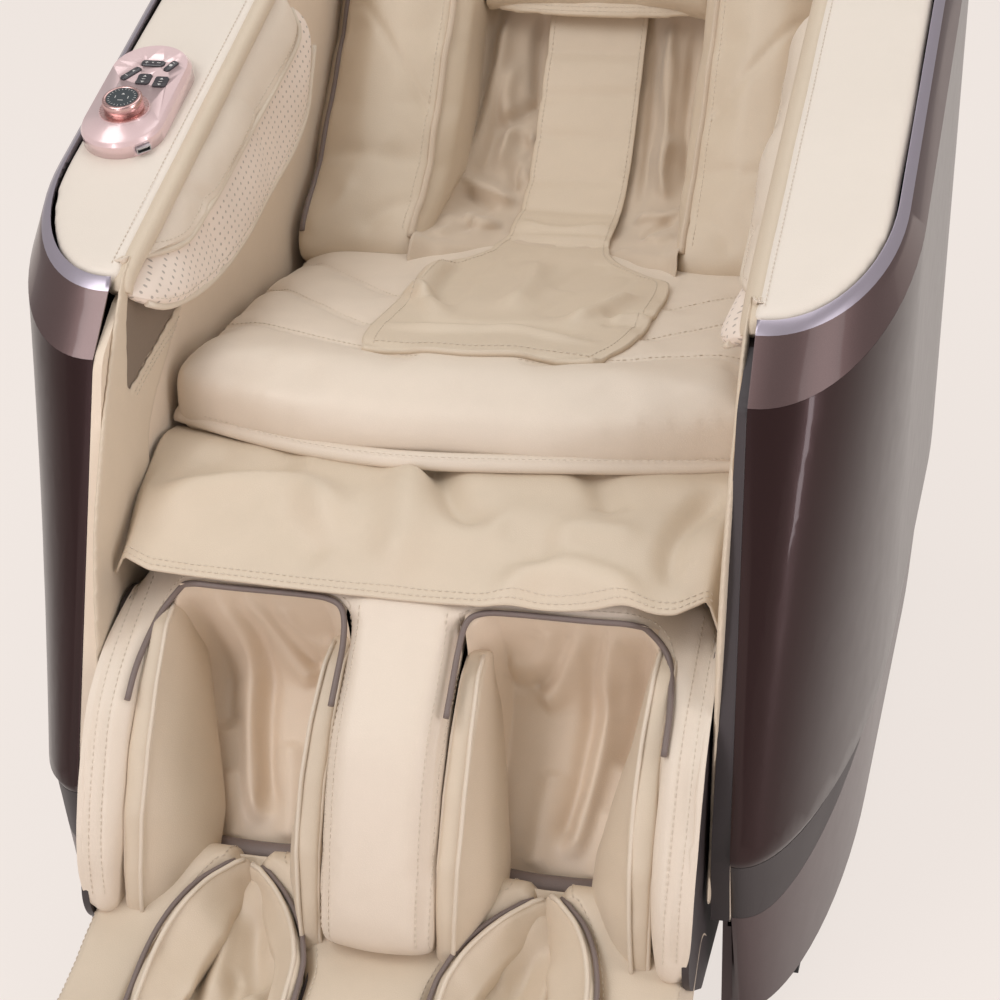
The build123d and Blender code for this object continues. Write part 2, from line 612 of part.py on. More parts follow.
def make_carriage():
    """Massage carriage: sleeves on the guide rods, gearbox and two roller arms a side."""
    v0, v1 = CARRIAGE_V
    plate = block((-130, 130), (v0, v1), (GUIDE_W + 12, GUIDE_W + 17))
    body = plate
    body += block((-60, 60), (v0 + 55, v1 - 55), (GUIDE_W - 20, GUIDE_W + 12))
    for x in (-GUIDE_X, GUIDE_X):
        for v in (v0 + 20, v1 - 20):
            body += bar_v(x, GUIDE_W, GUIDE_R + 5, v - 18, v + 18)
    for x in (-GUIDE_X, GUIDE_X):
        body -= bar_v(x, GUIDE_W, GUIDE_R + RUN_FIT, v0 - 5, v1 + 5)
    for v in roller_rows():
        for x in (-58, 58):
            arm = outline((v - 12, GUIDE_W + 16), (v - 7, ROLLER_W + 6, 6), (v + 7, ROLLER_W + 6, 6),
                          (v + 12, GUIDE_W + 16))
            body += across(arm, x - 4, x + 4) - bar_x(v, ROLLER_W, ROLLER_AXLE_R + RUN_FIT, x - 9, x + 9)
    return BACK * body


def roller_rows():
    v0, v1 = CARRIAGE_V
    return (v0 + 40, v1 - 40)


def make_rollers(v):
    """One axle with a pair of crowned massage rollers outside the arms."""
    tread = bar_x(v, ROLLER_W, ROLLER_R, 66, 88)
    tread = chamfer(tread.edges().filter_by(GeomType.CIRCLE), 4.0)
    return BACK * (bar_x(v, ROLLER_W, ROLLER_AXLE_R, -92, 92) + both(tread))


# ---- leg rest --------------------------------------------------------------
def leg_side(grow=0.0, back=LEG_BACK_H):
    """Side outline of the leg rest in (t, h)."""
    return outline((8 + grow, back - grow), (8 + grow, 600 + grow, 40), (-100, 652 + grow, 220),
                   (-205, 640 + grow, 120), (-279 - grow, 604 + grow, 40), (-279 - grow, 520 - grow, 14),
                   (-222, back - grow))


def make_leg_housing():
    """Moulded tub: side walls, back, top and the floors of both calf wells."""
    whole = across(leg_side(), -LEG_HALF, LEG_HALF)
    inner = LEG_HALF - COVER_T
    wells = across(outline((2, WELL_FLOOR_H), (2, 800), (-400, 800), (-400, 400), (WELL_END_T, 400),
                           (WELL_END_T, WELL_FLOOR_H)), -inner, inner)
    cavity = across(outline((2, LEG_BACK_H + 5), (2, WELL_FLOOR_H - 5), (-400, WELL_FLOOR_H - 5),
                            (-400, LEG_BACK_H + 5)), -inner, inner)
    tub = whole - wells - cavity
    tub -= across(outline((2, 597), (20, 597), (20, 700), (2, 700)), -inner, inner)
    tub -= both(block((ARM_PLATE[0] - 20 - SEAT_FIT, ARM_PLATE[1] + SEAT_FIT), (-2, 12),
                      (LEG_BACK_H + 5, WELL_FLOOR_H - 5)))
    return LEG * tub


def leg_pivot_local():
    y, z = LEG_PIVOT
    t = y * math.sin(SHIN_LEAN) + z * math.cos(SHIN_LEAN)
    h = -y * math.cos(SHIN_LEAN) + z * math.sin(SHIN_LEAN)
    return t, h


def make_leg_frame():
    """Two hinge arms, a cross tube and the sleeves of the foot unit's slides."""
    t, h = leg_pivot_local()
    eye = across(Pos(t, h) * Circle(LUG_R), *ARM_PLATE)
    web = across(outline((t, h - LUG_R), (10, 452), (10, 500), (t, h + LUG_R)), *ARM_PLATE)
    foot = block((ARM_PLATE[0] - 20, ARM_PLATE[1]), (-16, 14), (LEG_BACK_H + 6, WELL_FLOOR_H - 6))
    plate = eye + web + foot
    sleeve_x = (SLIDE_X - 12, SLIDE_X + 12)
    sleeve = block(sleeve_x, (-196, 1), (SLIDE_H - 12, SLIDE_H + 12))
    sleeve -= bar_v(SLIDE_X, SLIDE_H, SLIDE_R + RUN_FIT, -250, -10)
    tube = block((0, 225), (-16, 1), (SLIDE_H - 12, SLIDE_H + 12))
    right = plate + sleeve + tube - bar_v(SLIDE_X, SLIDE_H, SLIDE_R + RUN_FIT, -250, -18)
    right = LEG * right
    right += bar_x(*LEG_PIVOT, PIN_R, ARM_PLATE[0], LUG_PLATE[1] + PLAY)
    right += bar_x(*LEG_PIVOT, PIN_R + 4, LUG_PLATE[1] + REVEAL, LUG_PLATE[1] + 4)
    return both(right)


def make_leg_divider():
    face = outline((1.7, WELL_FLOOR_H + SEAT_FIT), (1.7, 590, 12), (-20, 640, 40), (-100, 668, 200),
                   (-205, 650, 120), (-279, 622, 10), (-279, 605, 4), (WELL_END_T, 577),
                   (WELL_END_T, WELL_FLOOR_H + SEAT_FIT))
    return LEG * across(face, -WELL_IN, WELL_IN)


def make_calf_cover():
    """Padded cloth over the top of the leg rest; it passes round the seat's apron."""
    t, h = leg_pivot_local()
    wedge = outline((8 + SEAT_FIT, 566), (8 + SEAT_FIT, 602), (4, 606), (-1.2, 645, 3), (7, 650, 3),
                    (76, 618, 4), (70, 606, 3), (30, 570))
    pad = across(wedge, -LEG_HALF + 2, LEG_HALF - 2) - bar_x(t, h, APRON_R + 4, -LEG_HALF, LEG_HALF)
    return LEG * pad


def make_leg_band():
    side = leg_side(-2.0, 560)
    face = side & outline((1.7, 562), (1.7, 700), (-277, 700), (-277, 562))
    return LEG * across(face, WELL_OUT + 4 * SEAT_FIT, LEG_HALF - COVER_T - SEAT_FIT)


def make_calf_pads():
    """Leaf cushions on both walls of one calf well."""
    leaf = outline((-5, WELL_FLOOR_H + SEAT_FIT), (-5, 600, 20), (-100, 624, 200), (-200, 624, 60),
                   (-275, 616, 8), (WELL_END_T, 578), (WELL_END_T + 8, WELL_FLOOR_H + SEAT_FIT))
    outer = across(leaf, 198, WELL_OUT)
    inner = across(leaf, WELL_IN + SEAT_FIT, 74)
    return LEG * outer + LEG * inner


FOOT_WELL = (56.0, 188.0)
SOLE_Z = 30.0  # sole plate's upper face at the toes
ROLLER_AT = (-712.0, 40.0)


def foot_side():
    """Side outline of the foot unit's tray in (y, z)."""
    return outline((-572, FLOOR_GAP, 8), (-790, FLOOR_GAP, 12), (-825, 40, 12), (-818, 68, 8),
                   (-722, 75, 60), (-658, 93, 8), (-590, 46, 4))


def heel_side():
    """The heel block, which reaches up between the walls of the leg rest."""
    return outline((-506, 78, 6), (-588, 133, 6), (-656, 92), (-640, 40), (-560, 24), (-512, 40, 10))


def make_foot_housing():
    """Foot tray with two wells, the heel block and the slide rods."""
    plan = outline((-FOOT_HALF, -825, 46), (FOOT_HALF, -825, 46), (FOOT_HALF, -560), (-FOOT_HALF, -560))
    tray = across(foot_side(), -FOOT_HALF, FOOT_HALF) & extrude(plan, amount=150)
    tray += across(heel_side(), -218, 218)
    well = across(outline((-572, 150), (-604, SOLE_Z + 4, 14), (-806, SOLE_Z, 8), (-806, 300), (-572, 300)),
                  *FOOT_WELL)
    y, z = ROLLER_AT
    pocket = bar_x(y, z, FOOT_ROLLER_R + PLAY, FOOT_WELL[0] + 18, FOOT_WELL[1] - 18)
    rod = LEG * bar_v(SLIDE_X, SLIDE_H, SLIDE_R, -250, -19)
    axle_bore = bar_x(y, z, AXLE_R + RUN_FIT, -FOOT_WELL[1] - 8, FOOT_WELL[1] + 8)
    return tray - both(well + pocket) - axle_bore + both(rod)


def make_foot_pads():
    """Padding on the walls of both foot wells."""
    face = outline((-612, 52), (-600, 112, 10), (-650, 96, 20), (-722, 74, 40), (-800, 66, 8), (-800, 46))
    inner = (FOOT_WELL[0] + SEAT_FIT, FOOT_WELL[0] + 14)
    outer = (FOOT_WELL[1] - 14, FOOT_WELL[1] - SEAT_FIT)
    return both(across(face, *inner) + across(face, *outer))


def make_foot_roller():
    """One axle through both wells, with four sole rollers in each."""
    y, z = ROLLER_AT
    roller = bar_x(y, z, AXLE_R, 0, FOOT_WELL[1] + 6)
    for i in range(4):
        x = FOOT_WELL[0] + 30 + i * 20.0
        roller += bar_x(y, z, FOOT_ROLLER_R, x - 6, x + 6)
    return both(roller)


# ---- controller ------------------------------------------------------------
POD = Plane(origin=ARM.from_local_coords(Vector(POD_X, POD_T, PAD_CROWN)), x_dir=(1, 0, 0), z_dir=ARM.z_dir)
KNOB_AT = (-1.0, -28.0)
PORT = (13.4, 11.4, 5.4)
USB_AT = Pos(25.4, -65.2, 6.5) * Rot(0, 0, 38)
BUTTONS = {  # place of its centre on the pod, turn, length and width
    "button_1": ((-14.0, 28.0), 58.0, 22.0, 7.0),
    "button_2": ((2.0, 45.0), 0.0, 22.0, 8.0),
    "button_3": ((20.0, 42.0), 66.0, 16.0, 7.0),
}
ROCKERS = {
    "rocker_1": ((1.0, 20.0), 0.0, 13.0, 15.0),
    "rocker_2": ((18.0, 17.0), 0.0, 13.0, 15.0),
}


def make_pod():
    body = extrude(SlotOverall(POD_L, POD_W, rotation=90), amount=POD_H)
    top = body.faces().sort_by(Axis.Z)[-1]
    body = chamfer(top.edges(), 5.0, 3.0)
    body += Pos(*KNOB_AT, POD_H - 1) * extrude(Circle(KNOB_R + 5), amount=3.4)
    body -= Pos(*KNOB_AT, 6) * extrude(Circle(AXLE_R + RUN_FIT), amount=30)
    for at, turn, long, wide in list(BUTTONS.values()) + list(ROCKERS.values()):
        hole = Pos(*at, POD_H - 7) * Rot(0, 0, turn) * extrude(
            RectangleRounded(long + 2 * BUTTON_GAP, wide + 2 * BUTTON_GAP, 3.0), amount=12)
        body -= hole
    usb = USB_AT * Box(PORT[0] + 2 * REVEAL, PORT[1] + 2 * REVEAL, PORT[2] + 2 * REVEAL)
    return POD * (body - usb)


def make_usb():
    """Charging port: a metal sleeve with its tongue."""
    wide, deep, high = PORT
    sleeve = Box(wide, deep, high) - Pos(0, -3, 0) * Box(wide - 1.8, deep, high - 1.8)
    tongue = Pos(0, 1, 0.4) * Box(wide - 4.4, deep - 2, 1.2)
    return POD * USB_AT * (sleeve + tongue)


def make_knob():
    skirt = extrude(Circle(KNOB_R), amount=KNOB_H)
    skirt = chamfer(skirt.faces().sort_by(Axis.Z)[-1].edges(), 1.2)
    dish = Pos(0, 0, KNOB_H - 1.0) * extrude(Circle(KNOB_R - 3.5), amount=4)
    pin = Pos(0, 0, -8) * extrude(Circle(AXLE_R), amount=9)
    return POD * Pos(*KNOB_AT, POD_H + 2.4 + REVEAL) * (skirt - dish + pin)


def make_button(at, turn, long, wide):
    """Push button with a dished top, in its well."""
    face = extrude(RectangleRounded(long, wide, 2.8), amount=5.4 + BUTTON_PROUD)
    face = chamfer(face.faces().sort_by(Axis.Z)[-1].edges(), 0.7)
    return POD * Pos(*at, POD_H - 5.4) * Rot(0, 0, turn) * face


def make_rocker(at, turn, long, wide):
    """Two-way rocker: ridged top and rounded belly, so that it can tip in its well."""
    ridge = outline((-wide / 2, 3.0), (-wide / 2, 7.4), (0, 6.0), (wide / 2, 7.4), (wide / 2, 3.0))
    body = across(ridge, -long / 2, long / 2) & extrude(RectangleRounded(long, wide, 2.8), amount=10)
    body += bar_x(0, 3.0, 2.2, -long / 2 + 1, long / 2 - 1)
    return POD * Pos(*at, POD_H - 6) * Rot(0, 0, turn) * body


def main():
    os.makedirs("parts", exist_ok=True)
    pair("shell", make_shell())
    pair("band", make_band() + make_rim())
    pair("arm_pad", make_arm_pad())
    pair("inner_panel", make_inner_panel())
    pair("insert", make_insert())
    pair("lower_cover", make_lower_cover())
    pair("airbag_upper", make_airbag(BAG_T, 40, 470, -60, -26))
    pair("airbag_lower", make_airbag(LOW_BAG_T, 12, 455, -112, -62))
    save("arm_frames", make_arm_frames())
    save("base_frame", make_base_frame())
    save("wheel_r", make_wheel(1))
    save("wheel_l", make_wheel(-1))
    save("rear_cover", make_rear_cover() + make_switch_frame())
    save("power_inlet", make_inlet())
    save("power_switch", make_switch())
    save("seat_frame", make_seat_frame())
    save("seat_cushion", make_seat_cushion())
    save("seat_flap", make_seat_flap())
    save("seat_apron", make_seat_apron())
    save("back_frame", make_back_frame())
    save("back_shell", make_back_shell())
    pair("bolster", make_bolster() + make_wing())
    save("back_cover", make_back_cover())
    save("back_strap", make_back_strap())
    save("head_pad", make_head_pad())
    save("head_pillow", make_head_pillow())
    save("carriage", make_carriage())
    low, high = roller_rows()
    save("rollers_low", make_rollers(low))
    save("rollers_high", make_rollers(high))
    save("leg_frame", make_leg_frame())
    save("leg_housing", make_leg_housing())
    save("leg_divider", make_leg_divider())
    save("calf_cover", make_calf_cover())
    pair("leg_band", make_leg_band())
    pair("calf_pads", make_calf_pads())
    save("foot_housing", make_foot_housing())
    save("foot_pads", make_foot_pads())
    save("foot_roller", make_foot_roller())
    save("controller_pod", make_pod())
    save("usb_port", make_usb())
    save("knob", make_knob())
    for name, button in BUTTONS.items():
        save(name, make_button(*button))
    for name, rocker in ROCKERS.items():
        save(name, make_rocker(*rocker))


main()
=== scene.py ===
# %% [markdown]
# # A massage chair, dressed piece by piece
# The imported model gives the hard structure: floor frame, arm covers, hinged back, leg rest and
# foot unit. Blender adds what a person sees and touches: lacquer, leather, cloth, piping and
# stitches. Every place below is worked out from that frame, so the chair still moves.

# %% Load the frame
import json
import math

import bmesh
import bpy
import numpy as np
from mathutils import Matrix, Vector, noise
from mathutils.bvhtree import BVHTree


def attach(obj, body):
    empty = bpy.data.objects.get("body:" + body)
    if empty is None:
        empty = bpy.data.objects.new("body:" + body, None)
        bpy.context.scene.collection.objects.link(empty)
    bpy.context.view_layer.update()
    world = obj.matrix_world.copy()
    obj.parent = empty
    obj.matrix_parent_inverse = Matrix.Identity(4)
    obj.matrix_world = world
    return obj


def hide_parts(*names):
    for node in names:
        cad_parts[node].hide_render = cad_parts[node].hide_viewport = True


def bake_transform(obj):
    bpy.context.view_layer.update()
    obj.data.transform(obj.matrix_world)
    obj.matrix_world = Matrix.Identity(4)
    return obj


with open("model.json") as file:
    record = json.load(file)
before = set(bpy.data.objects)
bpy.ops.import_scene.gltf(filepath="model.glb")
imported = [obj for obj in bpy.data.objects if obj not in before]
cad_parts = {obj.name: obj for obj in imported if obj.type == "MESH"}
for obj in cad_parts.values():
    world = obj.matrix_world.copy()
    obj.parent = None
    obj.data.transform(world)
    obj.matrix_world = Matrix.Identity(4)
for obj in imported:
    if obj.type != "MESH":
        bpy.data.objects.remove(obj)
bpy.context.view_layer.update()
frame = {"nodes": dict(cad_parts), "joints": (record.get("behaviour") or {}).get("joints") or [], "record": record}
nodes = frame["nodes"]
joints = {joint["name"]: joint for joint in frame["joints"]}

# %% [markdown]
# ## Three tilted worlds
# The arm tops climb towards the back, the backrest leans and the shin pads lean the other way.
# It is easiest to think in each part's own directions. The joints already know them: the
# carriage climbs along the back, the foot unit slides down the shin and the dial stands square
# on the arm.

# %% Directions
MM = 0.001
BACK_UP = Vector(joints["carriage_travel"]["axis"])
SHIN_DOWN = Vector(joints["foot_extension"]["axis"])
ARM_OUT = Vector(joints["dial_turn"]["axis"])
ACROSS = Vector((1, 0, 0))
BACK_OUT = BACK_UP.cross(ACROSS) * -1
if BACK_OUT.y > 0:
    BACK_OUT.negate()
SHIN_OUT = Vector((0, SHIN_DOWN.z, -SHIN_DOWN.y))
ARM_UP = Vector((0, ARM_OUT.z, -ARM_OUT.y))
ARM_START = Vector((0, -438, 597.4))

print("back leans", round(math.degrees(math.acos(BACK_UP.z))), "degrees")

# %% [markdown]
# ## Shader maths as sums
# Node trees are hard to read when they are wired by hand. This small class wraps one output
# socket, so that a finish can be written as an ordinary expression.


# %% A socket that can be added and multiplied
class Wire:
    def __init__(self, tree, socket):
        self.tree = tree
        self.socket = socket

    def math(self, operation, other=None):
        node = self.tree.nodes.new("ShaderNodeMath")
        node.operation = operation
        put(self.tree, node.inputs[0], self)
        if other is not None:
            put(self.tree, node.inputs[1], other)
        return Wire(self.tree, node.outputs[0])

    def __add__(self, other):
        return self.math("ADD", other)

    __radd__ = __add__

    def __mul__(self, other):
        return self.math("MULTIPLY", other)

    __rmul__ = __mul__

    def __sub__(self, other):
        return self.math("SUBTRACT", other)

    def __rsub__(self, other):
        return (self * -1.0) + other

    def __truediv__(self, other):
        return self.math("DIVIDE", other)

    def __pow__(self, other):
        return self.math("POWER", other)

    def smooth(self, low, high):
        """0 below low, 1 above high, with a soft step between."""
        node = self.tree.nodes.new("ShaderNodeMapRange")
        node.interpolation_type = "SMOOTHSTEP"
        put(self.tree, node.inputs["Value"], self)
        node.inputs["From Min"].default_value = low
        node.inputs["From Max"].default_value = high
        return Wire(self.tree, node.outputs["Result"])


def put(tree, socket, value):
    """Link a wire to a socket, or write a plain value on it."""
    if isinstance(value, Wire):
        tree.links.new(value.socket, socket)
    else:
        socket.default_value = value


class Finish:
    """One material under construction."""

    def __init__(self, name, color, roughness, **settings):
        self.material = bpy.data.materials.new(name)
        self.material.use_nodes = True
        self.tree = self.material.node_tree
        self.shader = self.tree.nodes["Principled BSDF"]
        self.shader.inputs["Base Color"].default_value = (*color, 1)
        self.shader.inputs["Roughness"].default_value = roughness
        for socket, value in settings.items():
            self.shader.inputs[socket.replace("_", " ")].default_value = value
        self.material.diffuse_color = (*color, 1)

    def node(self, kind, settings=None, **inputs):
        """Any node: its settings first, then the values or wires of its sockets."""
        node = self.tree.nodes.new(kind)
        for key, value in (settings or {}).items():
            setattr(node, key, value)
        for key, value in inputs.items():
            put(self.tree, node.inputs[key.replace("_", " ")], value)
        return node

    def wire(self, node, output=0):
        return Wire(self.tree, node.outputs[output])

    def place(self):
        return self.wire(self.node("ShaderNodeTexCoord"), "Object")

    def uv(self):
        return self.wire(self.node("ShaderNodeTexCoord"), "UV")

    def noise(self, scale, detail=3.0, stretch=(1, 1, 1)):
        mapping = self.node("ShaderNodeMapping", Vector=self.place(), Scale=stretch)
        made = self.node("ShaderNodeTexNoise", Vector=self.wire(mapping), Scale=scale,
                         Detail=detail)
        return self.wire(made, "Fac")

    def cells(self, scale, where):
        made = self.node("ShaderNodeTexVoronoi", {"feature": "DISTANCE_TO_EDGE"}, Vector=where,
                         Scale=scale)
        return self.wire(made, "Distance")

    def blend(self, low, high, amount):
        """Mix two colours."""
        mix = self.node("ShaderNodeMix", {"data_type": "RGBA"})
        put(self.tree, mix.inputs[0], amount)
        for socket, value in ((mix.inputs[6], low), (mix.inputs[7], high)):
            put(self.tree, socket, value if isinstance(value, Wire) else (*value, 1))
        return Wire(self.tree, mix.outputs[2])

    def feed(self, socket, value):
        put(self.tree, self.shader.inputs[socket], value)

    def bump(self, height, distance, strength=1.0):
        made = self.node("ShaderNodeBump", Height=height, Distance=distance, Strength=strength)
        self.tree.links.new(made.outputs[0], self.shader.inputs["Normal"])


def shade(color, factor):
    return tuple(channel * factor for channel in color)


print("shader helpers ready")

# %% [markdown]
# ## Finishes
# The side covers are metallic lacquer: a dark brown-mauve with fine flake under a clear coat.
# The leather is cream on the parts that hands and legs touch and a deeper beige inside. Every
# finish gets a second scale of detail, because a single flat colour never looks like a thing.

# %% Lacquers and plastics
PEARL = (0.030, 0.0115, 0.0115)
BAND_BROWN = (0.14, 0.09, 0.088)
LILAC = (0.46, 0.41, 0.48)
LOWER_BROWN = (0.105, 0.074, 0.074)
CREAM = (0.755, 0.65, 0.535)
BEIGE = (0.66, 0.55, 0.42)
TAUPE = (0.19, 0.145, 0.13)
ROSE = (0.80, 0.60, 0.60)


def lacquer(name, color, metallic, roughness, flake=0.12, coat=1.0):
    """Metallic paint under a clear coat, with fine flake and a faint orange-peel."""
    paint = Finish(name, color, roughness, Metallic=metallic, Coat_Weight=coat, Coat_Roughness=0.06,
                   Specular_IOR_Level=0.28)
    flakes = paint.noise(2600.0, detail=1.0).smooth(0.35, 0.75)
    cloud = paint.noise(5.0, detail=2.0)
    tint = paint.blend(shade(color, 1 - flake), shade(color, 1 + flake), flakes * 0.7 + cloud * 0.3)
    paint.feed("Base Color", tint)
    paint.feed("Roughness", paint.noise(40.0) * 0.06 + (roughness - 0.03))
    paint.bump(paint.noise(14.0, detail=1.0), 0.00004, 0.3)
    return paint.material


def moulded(name, color, roughness, grain=900.0, depth=0.00008):
    """Plastic with a fine spark-eroded grain."""
    plastic = Finish(name, color, roughness)
    spots = plastic.noise(grain, detail=2.0)
    wear = plastic.noise(12.0, detail=4.0)
    plastic.feed("Base Color",
                 plastic.blend(shade(color, 0.86), shade(color, 1.12), spots * 0.6 + wear * 0.4))
    plastic.feed("Roughness", wear * 0.14 + (roughness - 0.07))
    plastic.bump(spots, depth, 0.6)
    return plastic.material


def metal(name, color, roughness):
    """Plated or drawn metal with lengthwise drawing marks."""
    steel = Finish(name, color, roughness, Metallic=1.0)
    marks = steel.noise(160.0, detail=4.0, stretch=(1, 1, 14))
    steel.feed("Base Color", steel.blend(shade(color, 0.85), shade(color, 1.1), marks))
    steel.feed("Roughness", marks * 0.18 + (roughness - 0.09))
    steel.bump(marks, 0.00003, 0.4)
    return steel.material


pearl_brown = lacquer("pearl_brown", PEARL, 0.42, 0.3, coat=0.22)
satin_brown = lacquer("satin_brown", BAND_BROWN, 0.7, 0.33, coat=0.5)
lilac_rim = lacquer("lilac_rim", LILAC, 0.75, 0.3, flake=0.05, coat=0.4)
lower_brown = lacquer("lower_brown", LOWER_BROWN, 0.45, 0.42, coat=0.3)
rose_pearl = lacquer("rose_pearl", ROSE, 0.25, 0.32, flake=0.04)
dark_insert = moulded("dark_insert", (0.042, 0.033, 0.034), 0.5)
dark_plastic = moulded("dark_plastic", (0.042, 0.032, 0.034), 0.42)
soft_black = moulded("soft_black", (0.014, 0.013, 0.014), 0.55)
gloss_key = moulded("gloss_key", (0.052, 0.048, 0.055), 0.2, grain=400.0, depth=0.00002)
nylon = moulded("nylon", (0.1, 0.1, 0.1), 0.4)
pad_rubber = moulded("pad_rubber", (0.03, 0.03, 0.03), 0.7)
powder_coat = moulded("powder_coat", (0.028, 0.028, 0.03), 0.55, grain=1500.0)
zinc = metal("zinc", (0.55, 0.56, 0.58), 0.35)
print("hard finishes ready")

# %% [markdown]
# ## Leather and cloth
# Real leather has a net of fine creases a millimetre or two wide, softer pillows between them,
# and a slow drift in colour where it is stretched or handled. The net is a cell pattern that is
# bent by noise, so that no two cells match.


# %% Leathers and cloths
def leather(name, color, roughness=0.46, grain=620.0, depth=0.0002, drift=0.10, sheen=0.12):
    """Hide with a bent net of creases, soft pillows between them and a slow drift in tone."""
    hide = Finish(name, color, roughness, Sheen_Weight=sheen, Sheen_Roughness=0.4)
    where = hide.place()
    wobble = hide.node("ShaderNodeTexNoise", Vector=where, Scale=grain * 0.3, Detail=2.0)
    bend = hide.node("ShaderNodeVectorMath", {"operation": "SCALE"})
    put(hide.tree, bend.inputs[0], hide.wire(wobble, 1))
    bend.inputs["Scale"].default_value = 0.0016
    bent = hide.node("ShaderNodeVectorMath", {"operation": "ADD"})
    put(hide.tree, bent.inputs[0], where)
    put(hide.tree, bent.inputs[1], hide.wire(bend))
    net = hide.cells(grain, hide.wire(bent)).smooth(0.0, 0.35)
    slow = hide.noise(9.0, detail=4.0)
    fine = hide.noise(70.0, detail=3.0)
    tone = slow * 0.6 + fine * 0.25 + net * 0.15
    hide.feed("Base Color",
              hide.blend(shade(color, 1 - drift), shade(color, 1 + drift * 0.6), tone))
    hide.feed("Roughness", (roughness + 0.06) - net * 0.05 - slow * 0.06)
    hide.bump(net * 0.5 + fine * 0.5, depth, 0.55)
    return hide.material


def cloth(name, color, pitch=1400.0, drift=0.12):
    """Close-woven cloth: a fine fleck for the threads and a slow drift in tone."""
    weave = Finish(name, color, 0.82, Sheen_Weight=0.25, Sheen_Roughness=0.5)
    fine = weave.noise(pitch, detail=1.0)
    slow = weave.noise(11.0, detail=4.0)
    weave.feed("Base Color",
               weave.blend(shade(color, 1 - drift), shade(color, 1 + drift),
                           fine * 0.4 + slow * 0.6))
    weave.bump(fine, 0.00012, 0.5)
    return weave.material


def perforated(name, color, pitch=0.0085, hole=0.19):
    """Soft cloth with staggered rows of punched holes, laid out in the piece's UV in metres."""
    skin = Finish(name, color, 0.62, Sheen_Weight=0.2, Sheen_Roughness=0.5)
    split = skin.node("ShaderNodeSeparateXYZ", Vector=skin.uv())
    across, along = skin.wire(split, 0) * (1 / pitch), skin.wire(split, 1) * (1 / pitch)
    row = along.math("FLOOR")
    shifted = across + row.math("MODULO", 2.0).math("ABSOLUTE") * 0.5
    dx = shifted.math("FRACT") - 0.5
    dy = along.math("FRACT") - 0.5
    away = (dx * dx + dy * dy).math("SQRT")
    hollow = 1.0 - away.smooth(hole * 0.6, hole)
    slow = skin.noise(10.0, detail=4.0)
    ground = skin.blend(shade(color, 0.9), shade(color, 1.06), slow)
    skin.feed("Base Color", skin.blend(ground, shade(color, 0.4), hollow * 0.75))
    skin.bump(1.0 - hollow, 0.0006, 0.6)
    return skin.material


cream_leather = leather("cream_leather", CREAM, roughness=0.44)
arm_cream = leather("arm_cream", (0.78, 0.70, 0.61), roughness=0.4, depth=0.00012, drift=0.05)
beige_leather = leather("beige_leather", BEIGE, roughness=0.47)
well_leather = leather("well_leather", (0.79, 0.66, 0.52), roughness=0.5)
taupe_welt = leather("taupe_welt", TAUPE, roughness=0.5, drift=0.15)
light_welt = leather("light_welt", (0.70, 0.60, 0.48), roughness=0.45)
beige_cloth = cloth("beige_cloth", (0.60, 0.49, 0.375))
mesh_cloth = perforated("mesh_cloth", (0.84, 0.72, 0.62))
thread = cloth("thread", (0.66, 0.57, 0.46), pitch=3000.0)
print("soft finishes ready")

# %% [markdown]
# ## The hard parts keep their CAD shape
# Covers, frames and rollers are already right in the model, so they only need a finish. The
# glossy covers get a merged copy with smooth shading, because loose triangles would show as
# facets in the lacquer.


# %% Dress the CAD nodes
def paint_node(name, material):
    slots = nodes[name].material_slots
    for slot in slots:
        slot.material = material
    if not slots:
        nodes[name].data.materials.append(material)


def body_of(name):
    for body, members in frame["record"]["behaviour"]["bodies"].items():
        if name in members:
            return body
    raise ValueError(name)


def smooth_copy(name, material, angle=32.0, extra=()):
    """A merged, smooth-shaded copy of a CAD node that stands in for it."""
    mesh = nodes[name].data.copy()
    mesh.name = name + "_skin"
    build = bmesh.new()
    build.from_mesh(mesh)
    bmesh.ops.remove_doubles(build, verts=build.verts, dist=0.000004)
    bmesh.ops.dissolve_degenerate(build, edges=build.edges, dist=0.000002)
    build.to_mesh(mesh)
    build.free()
    mesh.materials.clear()
    for each in (material, *extra):
        mesh.materials.append(each)
    for face in mesh.polygons:
        face.material_index = 0
        face.use_smooth = True
    mesh.set_sharp_from_angle(angle=math.radians(angle))
    piece = bpy.data.objects.new(name + "_skin", mesh)
    bpy.context.scene.collection.objects.link(piece)
    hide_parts(name)
    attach(piece, body_of(name))
    return piece


NODE_FINISH = {
    powder_coat: ("base_frame", "arm_frames", "seat_frame", "back_frame", "leg_frame"),
    dark_plastic: ("rear_cover", "power_inlet", "leg_housing"),
    soft_black: ("power_switch",),
    zinc: ("carriage", "usb_port"),
    nylon: ("rollers_low", "rollers_high", "foot_roller"),
    pad_rubber: ("wheel_l", "wheel_r"),
}
for material, names in NODE_FINISH.items():
    for name in names:
        paint_node(name, material)
for side in "lr":
    for part, material in (("shell", pearl_brown), ("insert", dark_insert),
                           ("lower_cover", lower_brown)):
        smooth_copy(f"{part}_{side}", material)
    band = smooth_copy(f"band_{side}", satin_brown, extra=(lilac_rim,))
    for face in band.data.polygons:
        heights = [(band.data.vertices[v].co / MM - ARM_START).dot(ARM_OUT) for v in face.vertices]
        face.material_index = 1 if min(heights) > -10.6 and max(heights) > -5 else 0
smooth_copy("back_shell", pearl_brown)
print("hard parts dressed")

# %% [markdown]
# ## Tools for soft things
# A soft piece starts as plain numbers: points in millimetres, in the tilted frame of the part it
# sits on, and faces. It can come from a flat outline, from a grid or from a CAD solid. Then it is
# swollen, bent and creased, and only at the end turned into a Blender mesh in metres.


